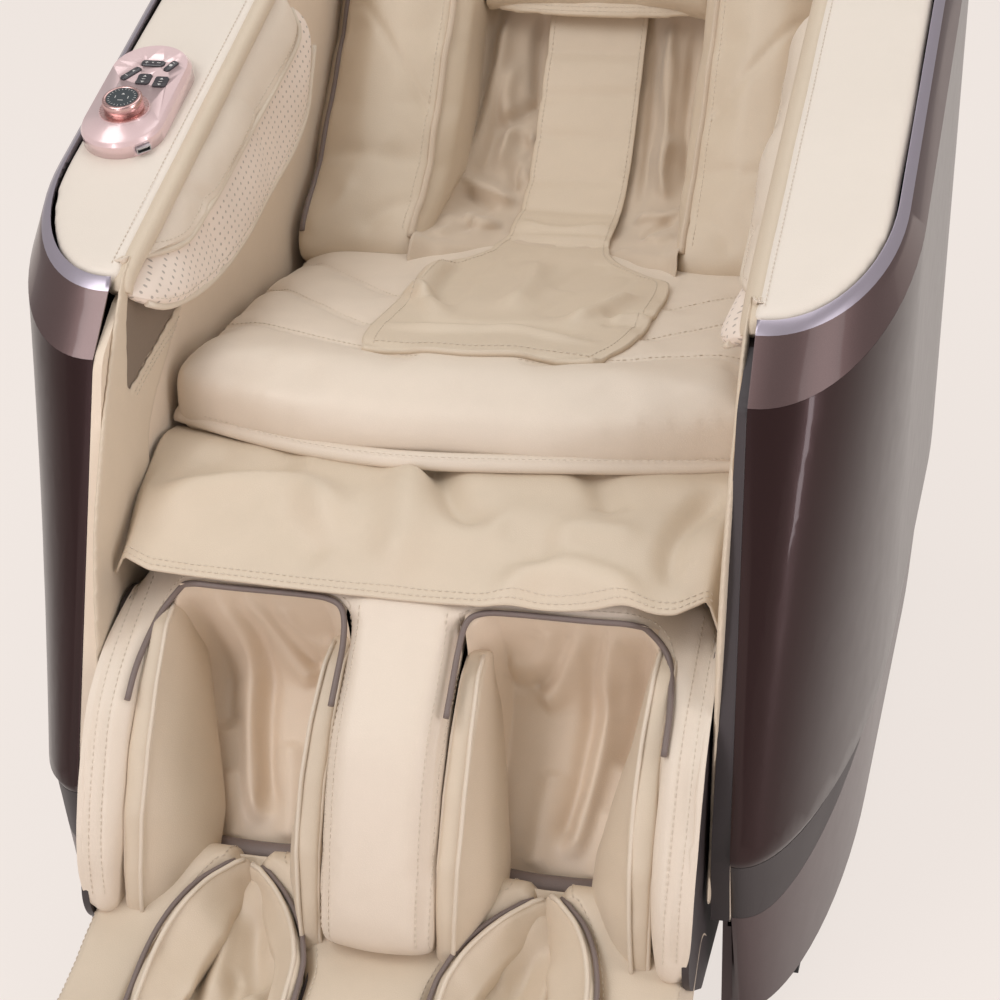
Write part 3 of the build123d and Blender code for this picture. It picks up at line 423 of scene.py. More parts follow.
# %% Tilted frames for many points at once
class Basis:
    """Three directions and a start: it turns local millimetres into metres in the chair."""

    def __init__(self, first, second, out, start=(0, 0, 0)):
        self.axes = np.array([tuple(first), tuple(second), tuple(out)], float)
        self.start = np.array(tuple(start), float)
        self.flips = np.linalg.det(self.axes) < 0

    def world(self, points):
        return (np.asarray(points, float) @ self.axes + self.start) * MM

    def local(self, points):
        return (np.asarray(points, float) / MM - self.start) @ self.axes.T

    def at(self, *place):
        return Vector(self.world([place])[0])


BACK = Basis(ACROSS, BACK_UP, BACK_OUT)
LEG = Basis(ACROSS, SHIN_DOWN, SHIN_OUT)
ARM = Basis(ACROSS, ARM_UP, ARM_OUT, ARM_START)
PLAIN = Basis(ACROSS, (0, 1, 0), (0, 0, 1))


def wall(side):
    """The arm's inner wall: along the arm, above its top, and out towards the seat."""
    return Basis(ARM_UP, ARM_OUT, ACROSS * -side, ARM_START)


print("frames", [basis.flips for basis in (BACK, LEG, ARM, PLAIN, wall(-1), wall(1))])


# %% Lines
def curve(points, steps=8, closed=False):
    """A smooth line through its control points."""
    knots = [np.array(point, float) for point in points]
    count = len(knots)
    line = []
    for i in range(count if closed else count - 1):
        b, c = knots[i], knots[(i + 1) % count]
        a = knots[i - 1] if closed or i > 0 else 2 * b - c
        d = knots[(i + 2) % count] if closed or i + 2 < count else 2 * c - b
        for t in np.arange(steps) / steps:
            bend = 2 * a - 5 * b + 4 * c - d + t * (3 * (b - c) + d - a)
            line.append(b + 0.5 * t * (c - a + t * bend))
    if not closed:
        line.append(knots[-1])
    return np.array(line)


def sided(side, points):
    """Points given for the right side, kept there (1) or mirrored to the left (-1)."""
    return [(side * point[0], *point[1:]) for point in points]


def run_lengths(line):
    """How far along the line each of its points lies."""
    return np.concatenate([[0], np.cumsum(np.linalg.norm(np.diff(line, axis=0), axis=1))])


def distance_to(places, line):
    """Distance from each place to a polyline, and how far along the line it lies, from 0 to 1."""
    line = np.asarray(line, float)
    lengths = np.linalg.norm(np.diff(line, axis=0), axis=1)
    starts = run_lengths(line)
    nearest = np.full(len(places), 1e9)
    along = np.zeros(len(places))
    for i, (p, q) in enumerate(zip(line, line[1:])):
        run = q - p
        t = np.clip((places - p) @ run / max(run @ run, 1e-9), 0, 1)
        away = np.linalg.norm(places - p - t[:, None] * run, axis=1)
        better = away < nearest
        nearest[better] = away[better]
        along[better] = (starts[i] + t[better] * lengths[i]) / starts[-1]
    return nearest, along


def smooth_step(value, low, high):
    t = np.clip((value - low) / (high - low), 0, 1)
    return t * t * (3 - 2 * t)


def profile(points):
    """A smooth height for every place along one direction."""
    line = curve(points, 10)
    return lambda where: np.interp(where, line[:, 0], line[:, 1])


print("a quarter ring has", len(curve([(1, 0), (0.7, 0.7), (0, 1)])), "points")


# %% Plain meshes in and out
def link(name, mesh, *materials):
    piece = bpy.data.objects.new(name, mesh)
    bpy.context.scene.collection.objects.link(piece)
    for material in materials:
        mesh.materials.append(material)
    return piece


def applied(piece):
    """A new mesh of an object with its modifiers applied."""
    graph = bpy.context.evaluated_depsgraph_get()
    return bpy.data.meshes.new_from_object(piece.evaluated_get(graph))


def read_mesh(piece):
    """Points and faces of an object with its modifiers applied."""
    shown = applied(piece)
    points = np.empty(len(shown.vertices) * 3)
    shown.vertices.foreach_get("co", points)
    faces = [tuple(face.vertices) for face in shown.polygons]
    bpy.data.meshes.remove(shown)
    return points.reshape(-1, 3), faces


def even_quads(points, faces, voxel):
    """Voxel remesh."""
    mesh = bpy.data.meshes.new("rough")
    mesh.from_pydata([tuple(point) for point in points], [], faces)
    piece = link("rough", mesh)
    remesh = piece.modifiers.new("even", "REMESH")
    remesh.mode = "VOXEL"
    remesh.voxel_size = voxel
    made = read_mesh(piece)
    bpy.data.objects.remove(piece)
    bpy.data.meshes.remove(mesh)
    return made


def loose_parts(name):
    """The separate solids of a CAD node, each as (points in metres, faces)."""
    build = bmesh.new()
    build.from_mesh(nodes[name].data)
    bmesh.ops.remove_doubles(build, verts=build.verts, dist=0.00001)
    build.verts.index_update()
    left = set(build.verts)
    parts = []
    for first in build.verts:
        if first not in left:
            continue
        left.discard(first)
        stack = [first]
        members = {first}
        while stack:
            for edge in stack.pop().link_edges:
                for vert in edge.verts:
                    if vert in left:
                        left.discard(vert)
                        members.add(vert)
                        stack.append(vert)
        order = {vert: i for i, vert in enumerate(sorted(members, key=lambda vert: vert.index))}
        faces = [tuple(order[v] for v in face.verts)
                 for face in build.faces if face.verts[0] in members]
        parts.append((np.array([tuple(vert.co) for vert in order]), faces))
    build.free()
    return parts


print("solids in a bolster:", len(loose_parts("bolster_l")))

# %% [markdown]
# ## Swelling, folds and seams
# Cloth simulation gives a cushion its fullness: the skin is held in by its own size while the
# pressure inside pushes it out. Folds and sewn lines come afterwards, because the even quads of
# a remesh can't hold a narrow seam.


# %% The soft piece
SWELL_FRAMES = 20
FAR_OUT = 2000  # where rays start that look down on a piece's front


class Soft:
    """A soft piece under construction, in the millimetres of its frame."""

    def __init__(self, frame_of, points, faces):
        self.frame = frame_of
        self.points = np.array(points, float)
        self.faces = list(faces)
        self.tree = None

    @classmethod
    def solid(cls, frame_of, name, part=0, voxel=5.0):
        """From one solid of a CAD node. Parts are ordered by their place across."""
        parts = sorted(loose_parts(name), key=lambda each: each[0][:, 0].mean())
        points, faces = parts[part]
        return cls(frame_of, *even_quads(frame_of.local(points), faces, voxel))

    @classmethod
    def plate(cls, frame_of, outline, thick, soft, voxel=5.0):
        """A flat pad with rounded edges; its back lies at 0 and its front at thick."""
        data = bpy.data.curves.new("plate", "CURVE")
        data.dimensions = "2D"
        data.fill_mode = "BOTH"
        data.extrude = thick / 2 - soft
        data.bevel_depth = soft
        data.bevel_resolution = 3
        data.offset = -soft
        spline = data.splines.new("POLY")
        spline.points.add(len(outline) - 1)
        for knot, place in zip(spline.points, outline):
            knot.co = (place[0], place[1], 0, 1)
        spline.use_cyclic_u = True
        piece = bpy.data.objects.new("plate", data)
        bpy.context.scene.collection.objects.link(piece)
        points, faces = even_quads(*read_mesh(piece), voxel)
        bpy.data.objects.remove(piece)
        points[:, 2] += thick / 2
        return cls(frame_of, points, faces)

    @classmethod
    def grid(cls, frame_of, place, across, along):
        """From a function of two shares, each from 0 to 1. Its front faces outwards."""
        points = [place(i / across, j / along) for j in range(along + 1) for i in range(across + 1)]
        row = across + 1
        faces = [(j * row + i, j * row + i + 1, (j + 1) * row + i + 1, (j + 1) * row + i)
                 for j in range(along) for i in range(across)]
        made = cls(frame_of, points, faces)
        if made.normals()[:, 2].mean() < 0:
            made.faces = [face[::-1] for face in faces]
        return made

    def edges(self):
        pairs = {tuple(sorted((face[i - 1], face[i])))
                 for face in self.faces for i in range(len(face))}
        return np.array(sorted(pairs))

    def normals(self):
        """Unit normal of each point, in the piece's own frame."""
        corners = np.array([face[:3] for face in self.faces])
        a, b, c = (self.points[corners[:, i]] for i in range(3))
        flat = np.cross(b - a, c - a)
        total = np.zeros_like(self.points)
        for face, each in zip(self.faces, flat):
            for corner in face:
                total[corner] += each
        return total / np.maximum(np.linalg.norm(total, axis=1, keepdims=True), 1e-9)

    def relax(self, times):
        """Even out small steps: each time every point goes halfway to its neighbours' middle."""
        edges = self.edges()
        count = np.bincount(edges.ravel(), minlength=len(self.points)).reshape(-1, 1)
        for _ in range(times):
            total = np.zeros_like(self.points)
            np.add.at(total, edges[:, 0], self.points[edges[:, 1]])
            np.add.at(total, edges[:, 1], self.points[edges[:, 0]])
            self.points += (total / np.maximum(count, 1) - self.points) * 0.5

    def swell(self, pressure=4.0, cap=8.0, start=0.0):
        """Blow the closed skin up as cloth, in metres, and cap how far each point may go."""
        if start:
            self.points -= self.normals() * start
        rest = self.frame.world(self.points)
        faces = [face[::-1] for face in self.faces] if self.frame.flips else self.faces
        mesh = bpy.data.meshes.new("swell")
        mesh.from_pydata([tuple(point) for point in rest], [], faces)
        piece = link("swell", mesh)
        sim = piece.modifiers.new("cloth", "CLOTH")
        sim.settings.quality = 4
        sim.settings.mass = 0.3
        sim.settings.tension_stiffness = 12
        sim.settings.compression_stiffness = 12
        sim.settings.bending_stiffness = 0.4
        sim.settings.use_pressure = True
        sim.settings.uniform_pressure_force = pressure
        sim.settings.effector_weights.gravity = 0
        sim.collision_settings.use_collision = False
        scene = bpy.context.scene
        for number in range(1, SWELL_FRAMES + 1):
            scene.frame_set(number)
        grown, _ = read_mesh(piece)
        scene.frame_set(1)
        bpy.data.objects.remove(piece)
        move = (grown - rest) / MM
        far = np.linalg.norm(move, axis=1, keepdims=True)
        move *= np.minimum(1, cap / np.maximum(far, 1e-6))
        self.points += move @ self.frame.axes.T

    def bend(self, function):
        """Move every point along the frame's out direction by function(first, second)."""
        self.points[:, 2] += function(self.points[:, 0], self.points[:, 1])

    def crease(self, line, width, depth, fade=0.2):
        """Press a valley (depth below 0) or lift a fold along a line seen from the front."""
        away, along = distance_to(self.points[:, :2], line)
        ends = smooth_step(along, 0, fade) * smooth_step(1 - along, 0, fade) if fade else 1.0
        front = smooth_step(self.normals()[:, 2], 0.05, 0.5)
        self.points[:, 2] += depth * np.exp(-(away / width) ** 2) * ends * front

    def folds(self, table, fade, side=1):
        """A crease for each row of a table: its line, its width and its height."""
        for line, width, height in table:
            self.crease(curve(sided(side, line), 8), width, height, fade)

    def rumple(self, size, height, seed=0.0, stretch=(1, 1)):
        """Slow unevenness that no sewn cover is without."""
        normals = self.normals()
        for i, point in enumerate(self.points):
            place = Vector((point[0] * stretch[0] / size, point[1] * stretch[1] / size,
                            point[2] / size + seed))
            self.points[i] += normals[i] * noise.noise(place) * height

    def on(self, line, lift=0.0):
        """The line's points dropped onto the front, each with the surface's normal."""
        if self.tree is None:
            self.tree = BVHTree.FromPolygons([Vector(point) for point in self.points], self.faces)
        found = []
        for place in line:
            hit, normal, _, _ = self.tree.ray_cast(Vector((*place[:2], FAR_OUT)),
                                                   Vector((0, 0, -1)))
            if hit is not None:
                found.append((np.array(hit + normal * lift), np.array(normal)))
        return found

    def make(self, name, material, body, slot, replaces=(), level=1, uv=None):
        """Turn it into a Blender piece that rides on its body."""
        self.tree = None
        faces = [face[::-1] for face in self.faces] if self.frame.flips else self.faces
        mesh = bpy.data.meshes.new(name)
        mesh.from_pydata([tuple(point) for point in self.frame.world(self.points)], [], faces)
        piece = link(name, mesh, material)
        if level:
            finer = piece.modifiers.new("finer", "SUBSURF")
            finer.levels = finer.render_levels = level
            fine = applied(piece)
            piece.modifiers.clear()
            piece.data = fine
            bpy.data.meshes.remove(mesh)
            fine.name = name
        for face in piece.data.polygons:
            face.use_smooth = True
        if uv:
            lay_out(piece, self.frame, uv)
        dress(piece, body, replaces)
        return piece


def lay_out(piece, frame_of, axes):
    """UVs in metres from two of the frame's directions."""
    layer = piece.data.uv_layers.new(name="laid")
    places = frame_of.local([tuple(vertex.co) for vertex in piece.data.vertices]) * MM
    for loop in piece.data.loops:
        point = places[loop.vertex_index]
        layer.data[loop.index].uv = (point[axes[0]], point[axes[1]])


def dress(piece, body, replaces=()):
    if body:
        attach(piece, body)
    if replaces:
        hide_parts(*replaces)
    return piece


print("soft tools ready")

# %% [markdown]
# ## Piping and stitches
# A welt is a thin cord sewn into a seam. It is swept as a tube along the seam's own line.
# Stitches are too many to place by hand: their lines are kept per body, and Geometry Nodes sets
# one small stitch every few millimetres along them at the end.

# %% Welts and stitch rows
stitch_rows = {}


def tube(name, line, radius, material, body, slot, sides=8, flat=1.0):
    """A round or flattened cord along world points, with closed ends."""
    line = [Vector(point) for point in line]
    count = len(line)
    points, faces = [], []
    aim = None
    for i, here in enumerate(line):
        run = (line[min(i + 1, count - 1)] - line[max(i - 1, 0)]).normalized()
        aim = run.orthogonal() if aim is None else aim - run * aim.dot(run)
        aim.normalize()
        side = run.cross(aim)
        for k in range(sides):
            turn = 2 * math.pi * k / sides
            points.append(here + (aim * math.cos(turn) + side * math.sin(turn) * flat) * radius)
    for i in range(count - 1):
        for k in range(sides):
            a, b = i * sides + k, i * sides + (k + 1) % sides
            faces.append((a, b, b + sides, a + sides))
    faces.append(tuple(range(sides))[::-1])
    faces.append(tuple(range((count - 1) * sides, count * sides)))
    mesh = bpy.data.meshes.new(name)
    mesh.from_pydata([tuple(point) for point in points], [], faces)
    piece = link(name, mesh, material)
    for face in mesh.polygons:
        face.use_smooth = len(face.vertices) == 4
    return dress(piece, body)


def welt(name, soft, line, radius, material, body, slot, lift=0.0, **more):
    """Piping that follows a line on a soft piece's front."""
    places = [point for point, _ in soft.on(line, lift)]
    return tube(name, soft.frame.world(places), radius * MM, material, body, slot, **more)


def keep_row(body, places, normals):
    """Remember a row of stitches: world places, and one normal for each or one for all."""
    stitch_rows.setdefault(body, []).append((places, np.broadcast_to(normals, (len(places), 3))))


def stitches(soft, line, body, lift=0.25):
    """Remember a row of stitches on a soft piece's front."""
    found = soft.on(line, lift)
    if len(found) > 1:
        places, normals = (np.array([each[k] for each in found]) for k in range(2))
        keep_row(body, soft.frame.world(places), normals @ soft.frame.axes)


print("welts and stitches ready")


# %% Two more ways to make a soft piece
def thicken(soft, depth):
    """Give a grid a back face and a rim, so that it is a closed sheet."""
    normals = soft.normals()
    count = len(soft.points)
    uses = {}
    for face in soft.faces:
        for i in range(len(face)):
            uses.setdefault(frozenset((face[i - 1], face[i])), []).append((face[i - 1], face[i]))
    rim = [pair[0] for pair in uses.values() if len(pair) == 1]
    soft.points = np.vstack([soft.points, soft.points - normals * depth])
    back = [tuple(corner + count for corner in face[::-1]) for face in soft.faces]
    soft.faces += back + [(b, a, a + count, b + count) for a, b in rim]
    return soft


def stacked(frame_of, sections, shrink=0.35):
    """A closed skin through closed sections that have the same number of points."""
    rings = [np.array(section, float) for section in sections]
    for end, index in ((rings[0], 0), (rings[-1], len(rings) + 1)):
        small = end.mean(axis=0) + (end - end.mean(axis=0)) * shrink
        rings.insert(index, small)
    size = len(rings[0])
    faces = [tuple(range(size))[::-1]]
    for j in range(len(rings) - 1):
        for i in range(size):
            a, b = j * size + i, j * size + (i + 1) % size
            faces.append((a, b, b + size, a + size))
    faces.append(tuple(range((len(rings) - 1) * size, len(rings) * size)))
    soft = Soft(frame_of, np.vstack(rings), faces)
    middle = soft.points.mean(axis=0)
    test = faces[len(faces) // 2]
    a, b, c = (soft.points[corner] for corner in test[:3])
    if np.dot(np.cross(b - a, c - a), a - middle) < 0:
        soft.faces = [face[::-1] for face in soft.faces]
    return soft


print("sheets and stacks ready")

# %% [markdown]
# ## The leg rest
# One padded cover runs down the left side, over the top and down the right side, with the wide
# cushion between the calves in the middle. It is cut as a single outline, remeshed, rounded and
# then bent to the side profile of the leg rest.

# %% The padded front of the leg rest
BAND_IN, BAND_OUT, CUSHION = 226, 257, 47
half_front = [(0, -46), (150, -46), (228, -40), (248, -20), (255, 30), (BAND_OUT, 140), (256, 240),
              (253, 262), (244, 274), (235, 273), (228, 260), (BAND_IN, 200), (BAND_IN, 100),
              (224, 50), (216, 16), (200, -5), (188, -9), (150, -8), (90, -8), (64, -6), (51, 4),
              (CUSHION, 30), (CUSHION, 150), (CUSHION, 262), (43, 275), (32, 279), (0, 281)]
right_side = curve(half_front, steps=3)
front_line = np.vstack([right_side, right_side[-2:0:-1] * (-1, 1)])
side_height = profile([(-46, 577), (-8, 600), (30, 624), (77, 648), (126, 656), (215, 640),
                       (268, 610), (290, 592)])
middle_height = profile([(-46, 632), (-8, 646), (32, 649), (115, 668), (195, 654), (270, 624),
                         (290, 610)])
OVER_WELL = [(226, 60), (221, 14), (200, -13), (140, -14), (70, -13), (47, -2)]
FRONT_THICK = 58
WALL_IN = 251.4


def front_height(x, s):
    share = smooth_step(np.abs(x), 178, 232)
    return middle_height(s) + (side_height(s) - middle_height(s)) * share


leg_front = Soft.plate(LEG, front_line, FRONT_THICK, 11, voxel=5.0)
leg_front.relax(3)
leg_front.swell(pressure=3.0, cap=3.0, start=-0.5)
leg_front.bend(lambda x, s: front_height(x, s) - FRONT_THICK)
leg_front.bend(lambda x, s: 5.0 * np.clip(1 - (x / 52.0) ** 2, 0, 1) * smooth_step(s, 0, 40))
over = np.abs(leg_front.points[:, 0]) > WALL_IN
wall_top = side_height(leg_front.points[:, 1]) - 3.0
leg_front.points[over, 2] = np.maximum(leg_front.points[over, 2], wall_top[over])
for side in (-1, 1):
    leg_front.crease(sided(side, [(42.0, 2), (42.0, 276)]), 3.2, -4.0, fade=0.04)
    leg_front.crease(sided(side, [(243, -20), (244.5, 120), (243, 262)]), 3.0, -3.4, fade=0.04)
leg_front.rumple(90, 1.6, seed=2.0)
leg_front.rumple(26, 0.5, seed=7.0)
leg_front.make("leg_front_pad", cream_leather, "leg_rest", "cream_leather",
               replaces=("leg_divider", "leg_band_l", "leg_band_r"))
for side in (-1, 1):
    for x in (37.0, 46.0):
        stitches(leg_front, curve(sided(side, [(x, -2), (x, 120), (x, 270)]), 30), "leg_rest")
    for x in (238.0, 249.0):
        outer_row = sided(side, [(x, -24), (x + 1, 120), (x - 1, 258)])
        stitches(leg_front, curve(outer_row, 30), "leg_rest")
    stitches(leg_front, curve(sided(side, OVER_WELL), 12), "leg_rest")
print("front pad", len(leg_front.points), "points")

# %% [markdown]
# The openings for the calves are edged with a dark welt, which follows the cut line.

# %% Dark welt round the calf openings
CALF_OPENING = [(226, 96), (225, 58), (218, 18), (201, -3), (188, -6.5), (150, -6),
                (90, -6), (65, -4), (52.5, 5), (48.6, 30), (48.4, 60), (48.4, 84)]
for side, tag in ((-1, "l"), (1, "r")):
    path = curve(sided(side, CALF_OPENING), 6)
    heights = front_height(path[:, 0], path[:, 1]) - 3.5
    line = LEG.world(np.column_stack([path, heights]))
    tube(f"calf_welt_{tag}", line, 2.7 * MM, taupe_welt, "leg_rest", "beige_leather")
print("dark welts placed")

# %% [markdown]
# ## Leaf cushions in the calf wells
# Each calf is held between two leaf-shaped air cushions. A leaf stands on the wall, its front
# edge is a narrow strip between two welts, and its face bellies into the well.

# %% Leaf cushions
RING_STEPS = 3  # points from one knot of a ring to the next
LEAF_BELLY = [(2, 15), (49, 30), (113, 46), (178, 60), (214, 61), (250, 42), (278, 24)]
LEAF_FRONT = [(2, 606), (30, 628), (80, 640), (130, 643), (190, 635), (235, 616), (262, 600),
              (280, 584)]


def leaf(side, inner, tag):
    """One leaf: from the outer wall inwards, or from the cushion outwards."""
    wall_at = 48.5 if inner else 225.0
    inwards = side if inner else -side
    first, last = (22, 290) if inner else (2, 280)
    sections = []
    for s in np.linspace(first, last, 44):
        share = (s - first) / (last - first) * 278 + 2
        belly = np.interp(share, *zip(*LEAF_BELLY)) * (0.72 if inner else 1.0)
        front = np.interp(share, *zip(*LEAF_FRONT)) + (6 if inner else 0)
        low = 521 if s < 208 else 521 + (s - 208) * 0.8
        strip = 15 + 5 * math.sin(math.pi * (s - first) / (last - first))
        ring = [(0, low + 6), (0.5, front - 22), (1.5, front - 6), (5, front), (strip, front),
                (strip + 4, front - 7), (0.62 * belly + 10, (front + 560) / 2), (belly, 562),
                (belly - 2, low + 16), (0.5 * belly, low)]
        sections.append([(wall_at * side + inwards * across, s, height)
                         for across, height in curve(ring, RING_STEPS, closed=True)])
    pad = stacked(LEG, sections, shrink=0.3)
    pad.rumple(60, 2.2, seed=3.0 + 5 * side + 2 * inner)
    pad.rumple(18, 0.5, seed=9.0 + side)
    piece = pad.make(f"calf_leaf_{'in' if inner else 'out'}_{tag}", beige_leather, "leg_rest",
                     "beige_leather",
                     replaces=() if inner else (f"calf_pads_{tag}",))
    for name, knot, shift in (("back", 2, 1.0), ("face", 4, 0)):
        seam = [sections[i][knot * RING_STEPS] for i in range(1, 43)]
        line = [(x + shift * inwards, s, height + 1.2) for x, s, height in seam]
        tube(f"{piece.name}_{name}_welt", LEG.world(line), 2.0 * MM, light_welt, "leg_rest",
             "beige_leather")


for side, tag in ((-1, "l"), (1, "r")):
    leaf(side, False, tag)
    leaf(side, True, tag)
print("leaves in place")

# %% [markdown]
# ## Linings of the calf wells
# A loose lining covers the bottom of each well. It is pulled up to the welt at the top, which
# gathers it in a few long pleats that run down and fade.

# %% Well linings
WELL_FLOOR = 513.5
PLEATS = [  # points (x, s) on the left side, width, height
    ([(-180, -4), (-168, 8), (-158, 33), (-157, 62), (-153, 105), (-145, 153), (-136, 190)], 9, 13),
    ([(-166, -4), (-150, 14), (-144, 40), (-143, 80), (-138, 130), (-128, 180)], 8, -12),
    ([(-152, -2), (-137, 15), (-126, 29), (-114, 47), (-100, 62)], 9, 12),
    ([(-132, -2), (-122, 14), (-108, 34), (-94, 46)], 7, -9),
    ([(-192, 0), (-190, 26), (-184, 60), (-178, 110)], 10, -12),
    ([(-116, 2), (-110, 22), (-92, 32), (-72, 28)], 8, 8),
    ([(-100, 40), (-84, 44), (-68, 38)], 6, -6),
    ([(-118, 110), (-112, 150), (-108, 200)], 11, 6),
    ([(-172, 140), (-164, 180), (-160, 205)], 9, 5),
]


def lining(side, tag):
    def place(u, v):
        x = -222 + 172 * u
        s = -7 + 219 * v
        deep = 527 + 36 * max(0.0, abs(u - 0.5) - 0.36) / 0.14
        pulled = max(0.0, 1 - (s + 7) / 74.0)
        height = deep + (638 - deep) * pulled ** 1.7
        if abs(u - 0.5) > 0.36:
            height += 30 * (abs(u - 0.5) - 0.36) / 0.14
        return (side * -x, s, min(height, 640 - 40 * smooth_step(abs(x), 190, 222)))

    cover = Soft.grid(LEG, place, 86, 104)
    cover.folds(PLEATS, 0.12, -side)
    cover.rumple(34, 2.4, seed=4.0 + side)
    cover.points[:, 2] = np.maximum(cover.points[:, 2], WELL_FLOOR)
    cover.relax(1)
    piece = cover.make(f"well_lining_{tag}", well_leather, "leg_rest", "beige_leather")
    strip = curve(sided(side, [(184, 207, 536), (150, 209, 541), (110, 209, 544), (70, 206, 541)]),
                  8)
    tube(f"well_strip_{tag}", LEG.world(strip), 9 * MM, taupe_welt, "leg_rest", "beige_leather",
         flat=0.4)


lining(-1, "l")
lining(1, "r")
print("linings in place")

# %% [markdown]
# ## The apron over the knees
# A loose sheet hides the hinge between seat and leg rest. Its top edge lies under the seat's
# lip and its hem rests on the leg rest.

# %% The apron
APRON_HALF = 259.5
apron_run = curve([(-350, 425), (-388, 429.5), (-430, 421), (-470, 412.5), (-505, 393),
                   (-537, 371)], 10)
apron_share = np.linspace(0, 1, len(apron_run))


def apron_place(u, v):
    x = APRON_HALF * (2 * u - 1)
    side = abs(x) / APRON_HALF
    reach = 1 - (0.045 * side ** 2 + 0.07 * max(0.0, side - 0.86) / 0.14) * (1.0 if x < 0 else 1.5)
    y = np.interp(v * reach, apron_share, apron_run[:, 0])
    z = np.interp(v * reach, apron_share, apron_run[:, 1])
    droop = smooth_step(side, 0.955, 1.0) * smooth_step(v, 0.3, 1.0)
    return (x, y, z - droop * (24 if x < 0 else 44))


APRON_ACROSS, APRON_ALONG = 170, 66
apron = Soft.grid(PLAIN, apron_place, APRON_ACROSS, APRON_ALONG)
APRON_FOLDS = [  # points (x, y), width, height
    ([(-18, -385), (-22, -430), (-14, -480), (-8, -534)], 20, 12),
    ([(-24, -366), (2, -412), (26, -446), (64, -462)], 14, -15),
    ([(60, -462), (98, -480), (112, -512)], 14, -6),
    ([(-250, -486), (-196, -458), (-140, -440), (-98, -452), (-62, -500)], 17, 14),
    ([(-138, -466), (-106, -488), (-70, -512)], 13, -5),
    ([(-222, -398), (-170, -412), (-116, -398)], 20, -9),
    ([(-116, -360), (-96, -374), (-72, -362)], 8, -12),
    ([(62, -536), (112, -508), (160, -514), (210, -538)], 15, 12),
    ([(112, -372), (138, -402), (158, -444)], 15, -10),
    ([(190, -468), (140, -466), (104, -478)], 14, 6),
    ([(246, -384), (220, -436), (212, -486), (232, -512)], 13, -12),
    ([(88, -358), (106, -372), (128, -360)], 8, -9),
]
apron.folds(APRON_FOLDS, 0.25)
apron.rumple(90, 5.0, seed=1.0, stretch=(1, 1.6))
apron.rumple(30, 0.8, seed=5.0)
apron.relax(2)
hem_rows = [[apron.points[(APRON_ALONG - k) * (APRON_ACROSS + 1) + i] + (0, 0, 0.5)
             for i in range(3, APRON_ACROSS - 2)] for k in (2, 4)]
thicken(apron, 2.2)
apron_piece = apron.make("apron", beige_leather, None, "beige_leather", level=0,
                         replaces=("seat_apron", "calf_cover"))
tuple(PLAIN.at(0, -425, 410))
tuple(PLAIN.at(0, -500, 390))
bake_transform(apron_piece)
for row in hem_rows:
    keep_row("leg_rest", PLAIN.world(row), (0, -0.5, 0.87))
print("apron folds", len(APRON_FOLDS))

# %% [markdown]
# ## The seat
# The seat cushion is blown up from its CAD solid and then sewn: a lip runs along its front
# edge, and shallow seams cross the top from the sides towards the flap.

# %% Seat cushion
seat = Soft.solid(PLAIN, "seat_cushion", voxel=6.0)
seat.relax(6)
seat.swell(pressure=5.0, cap=9.0, start=-5.0)
seat.relax(2)
SEAT_SEAMS = [
    [(-252, -236), (-190, -262), (-120, -290), (-40, -322)],
    [(252, -236), (190, -262), (128, -290), (48, -322)],
    [(-252, -118), (-196, -168), (-140, -214), (-104, -240)],
    [(252, -118), (200, -168), (160, -208), (136, -232)],
    [(-248, -10), (-196, -62), (-140, -118), (-104, -152)],
    [(248, -10), (208, -58), (168, -104), (140, -136)],
]
for line in SEAT_SEAMS:
    path = curve(line, 10)
    seat.crease(path, 4.6, -4.2, fade=0.05)
    seat.crease(path, 24, -3.0, fade=0.1)
seat.rumple(110, 3.0, seed=6.0)
seat.rumple(34, 1.0, seed=2.0)
seat_piece = seat.make("seat_pad", cream_leather, "base", "cream_leather",
                       replaces=("seat_cushion",))
for line in SEAT_SEAMS:
    stitches(seat, curve(line, 24) + (0, 5.0), "base")


def bow(x, depth=0.0):
    """The curved front edge of the seat, seen from above."""
    return -398 + depth + 53 * (abs(x) / 258.0) ** 2


lip = [(x, bow(x, -3.0), 434 + 2.5 * math.sin(x / 60.0)) for x in np.linspace(-257, 257, 90)]
tube("seat_lip", PLAIN.world(lip), 8.5 * MM, cream_leather, "base", "cream_leather", sides=14,
     flat=0.7)
row = [(x, bow(x, -8.6), 441.0 + 2.5 * math.sin(x / 60.0)) for x in np.linspace(-250, 250, 90)]
keep_row("base", PLAIN.world(row), (0, -0.9, 0.43))
print("seat seams", len(SEAT_SEAMS))
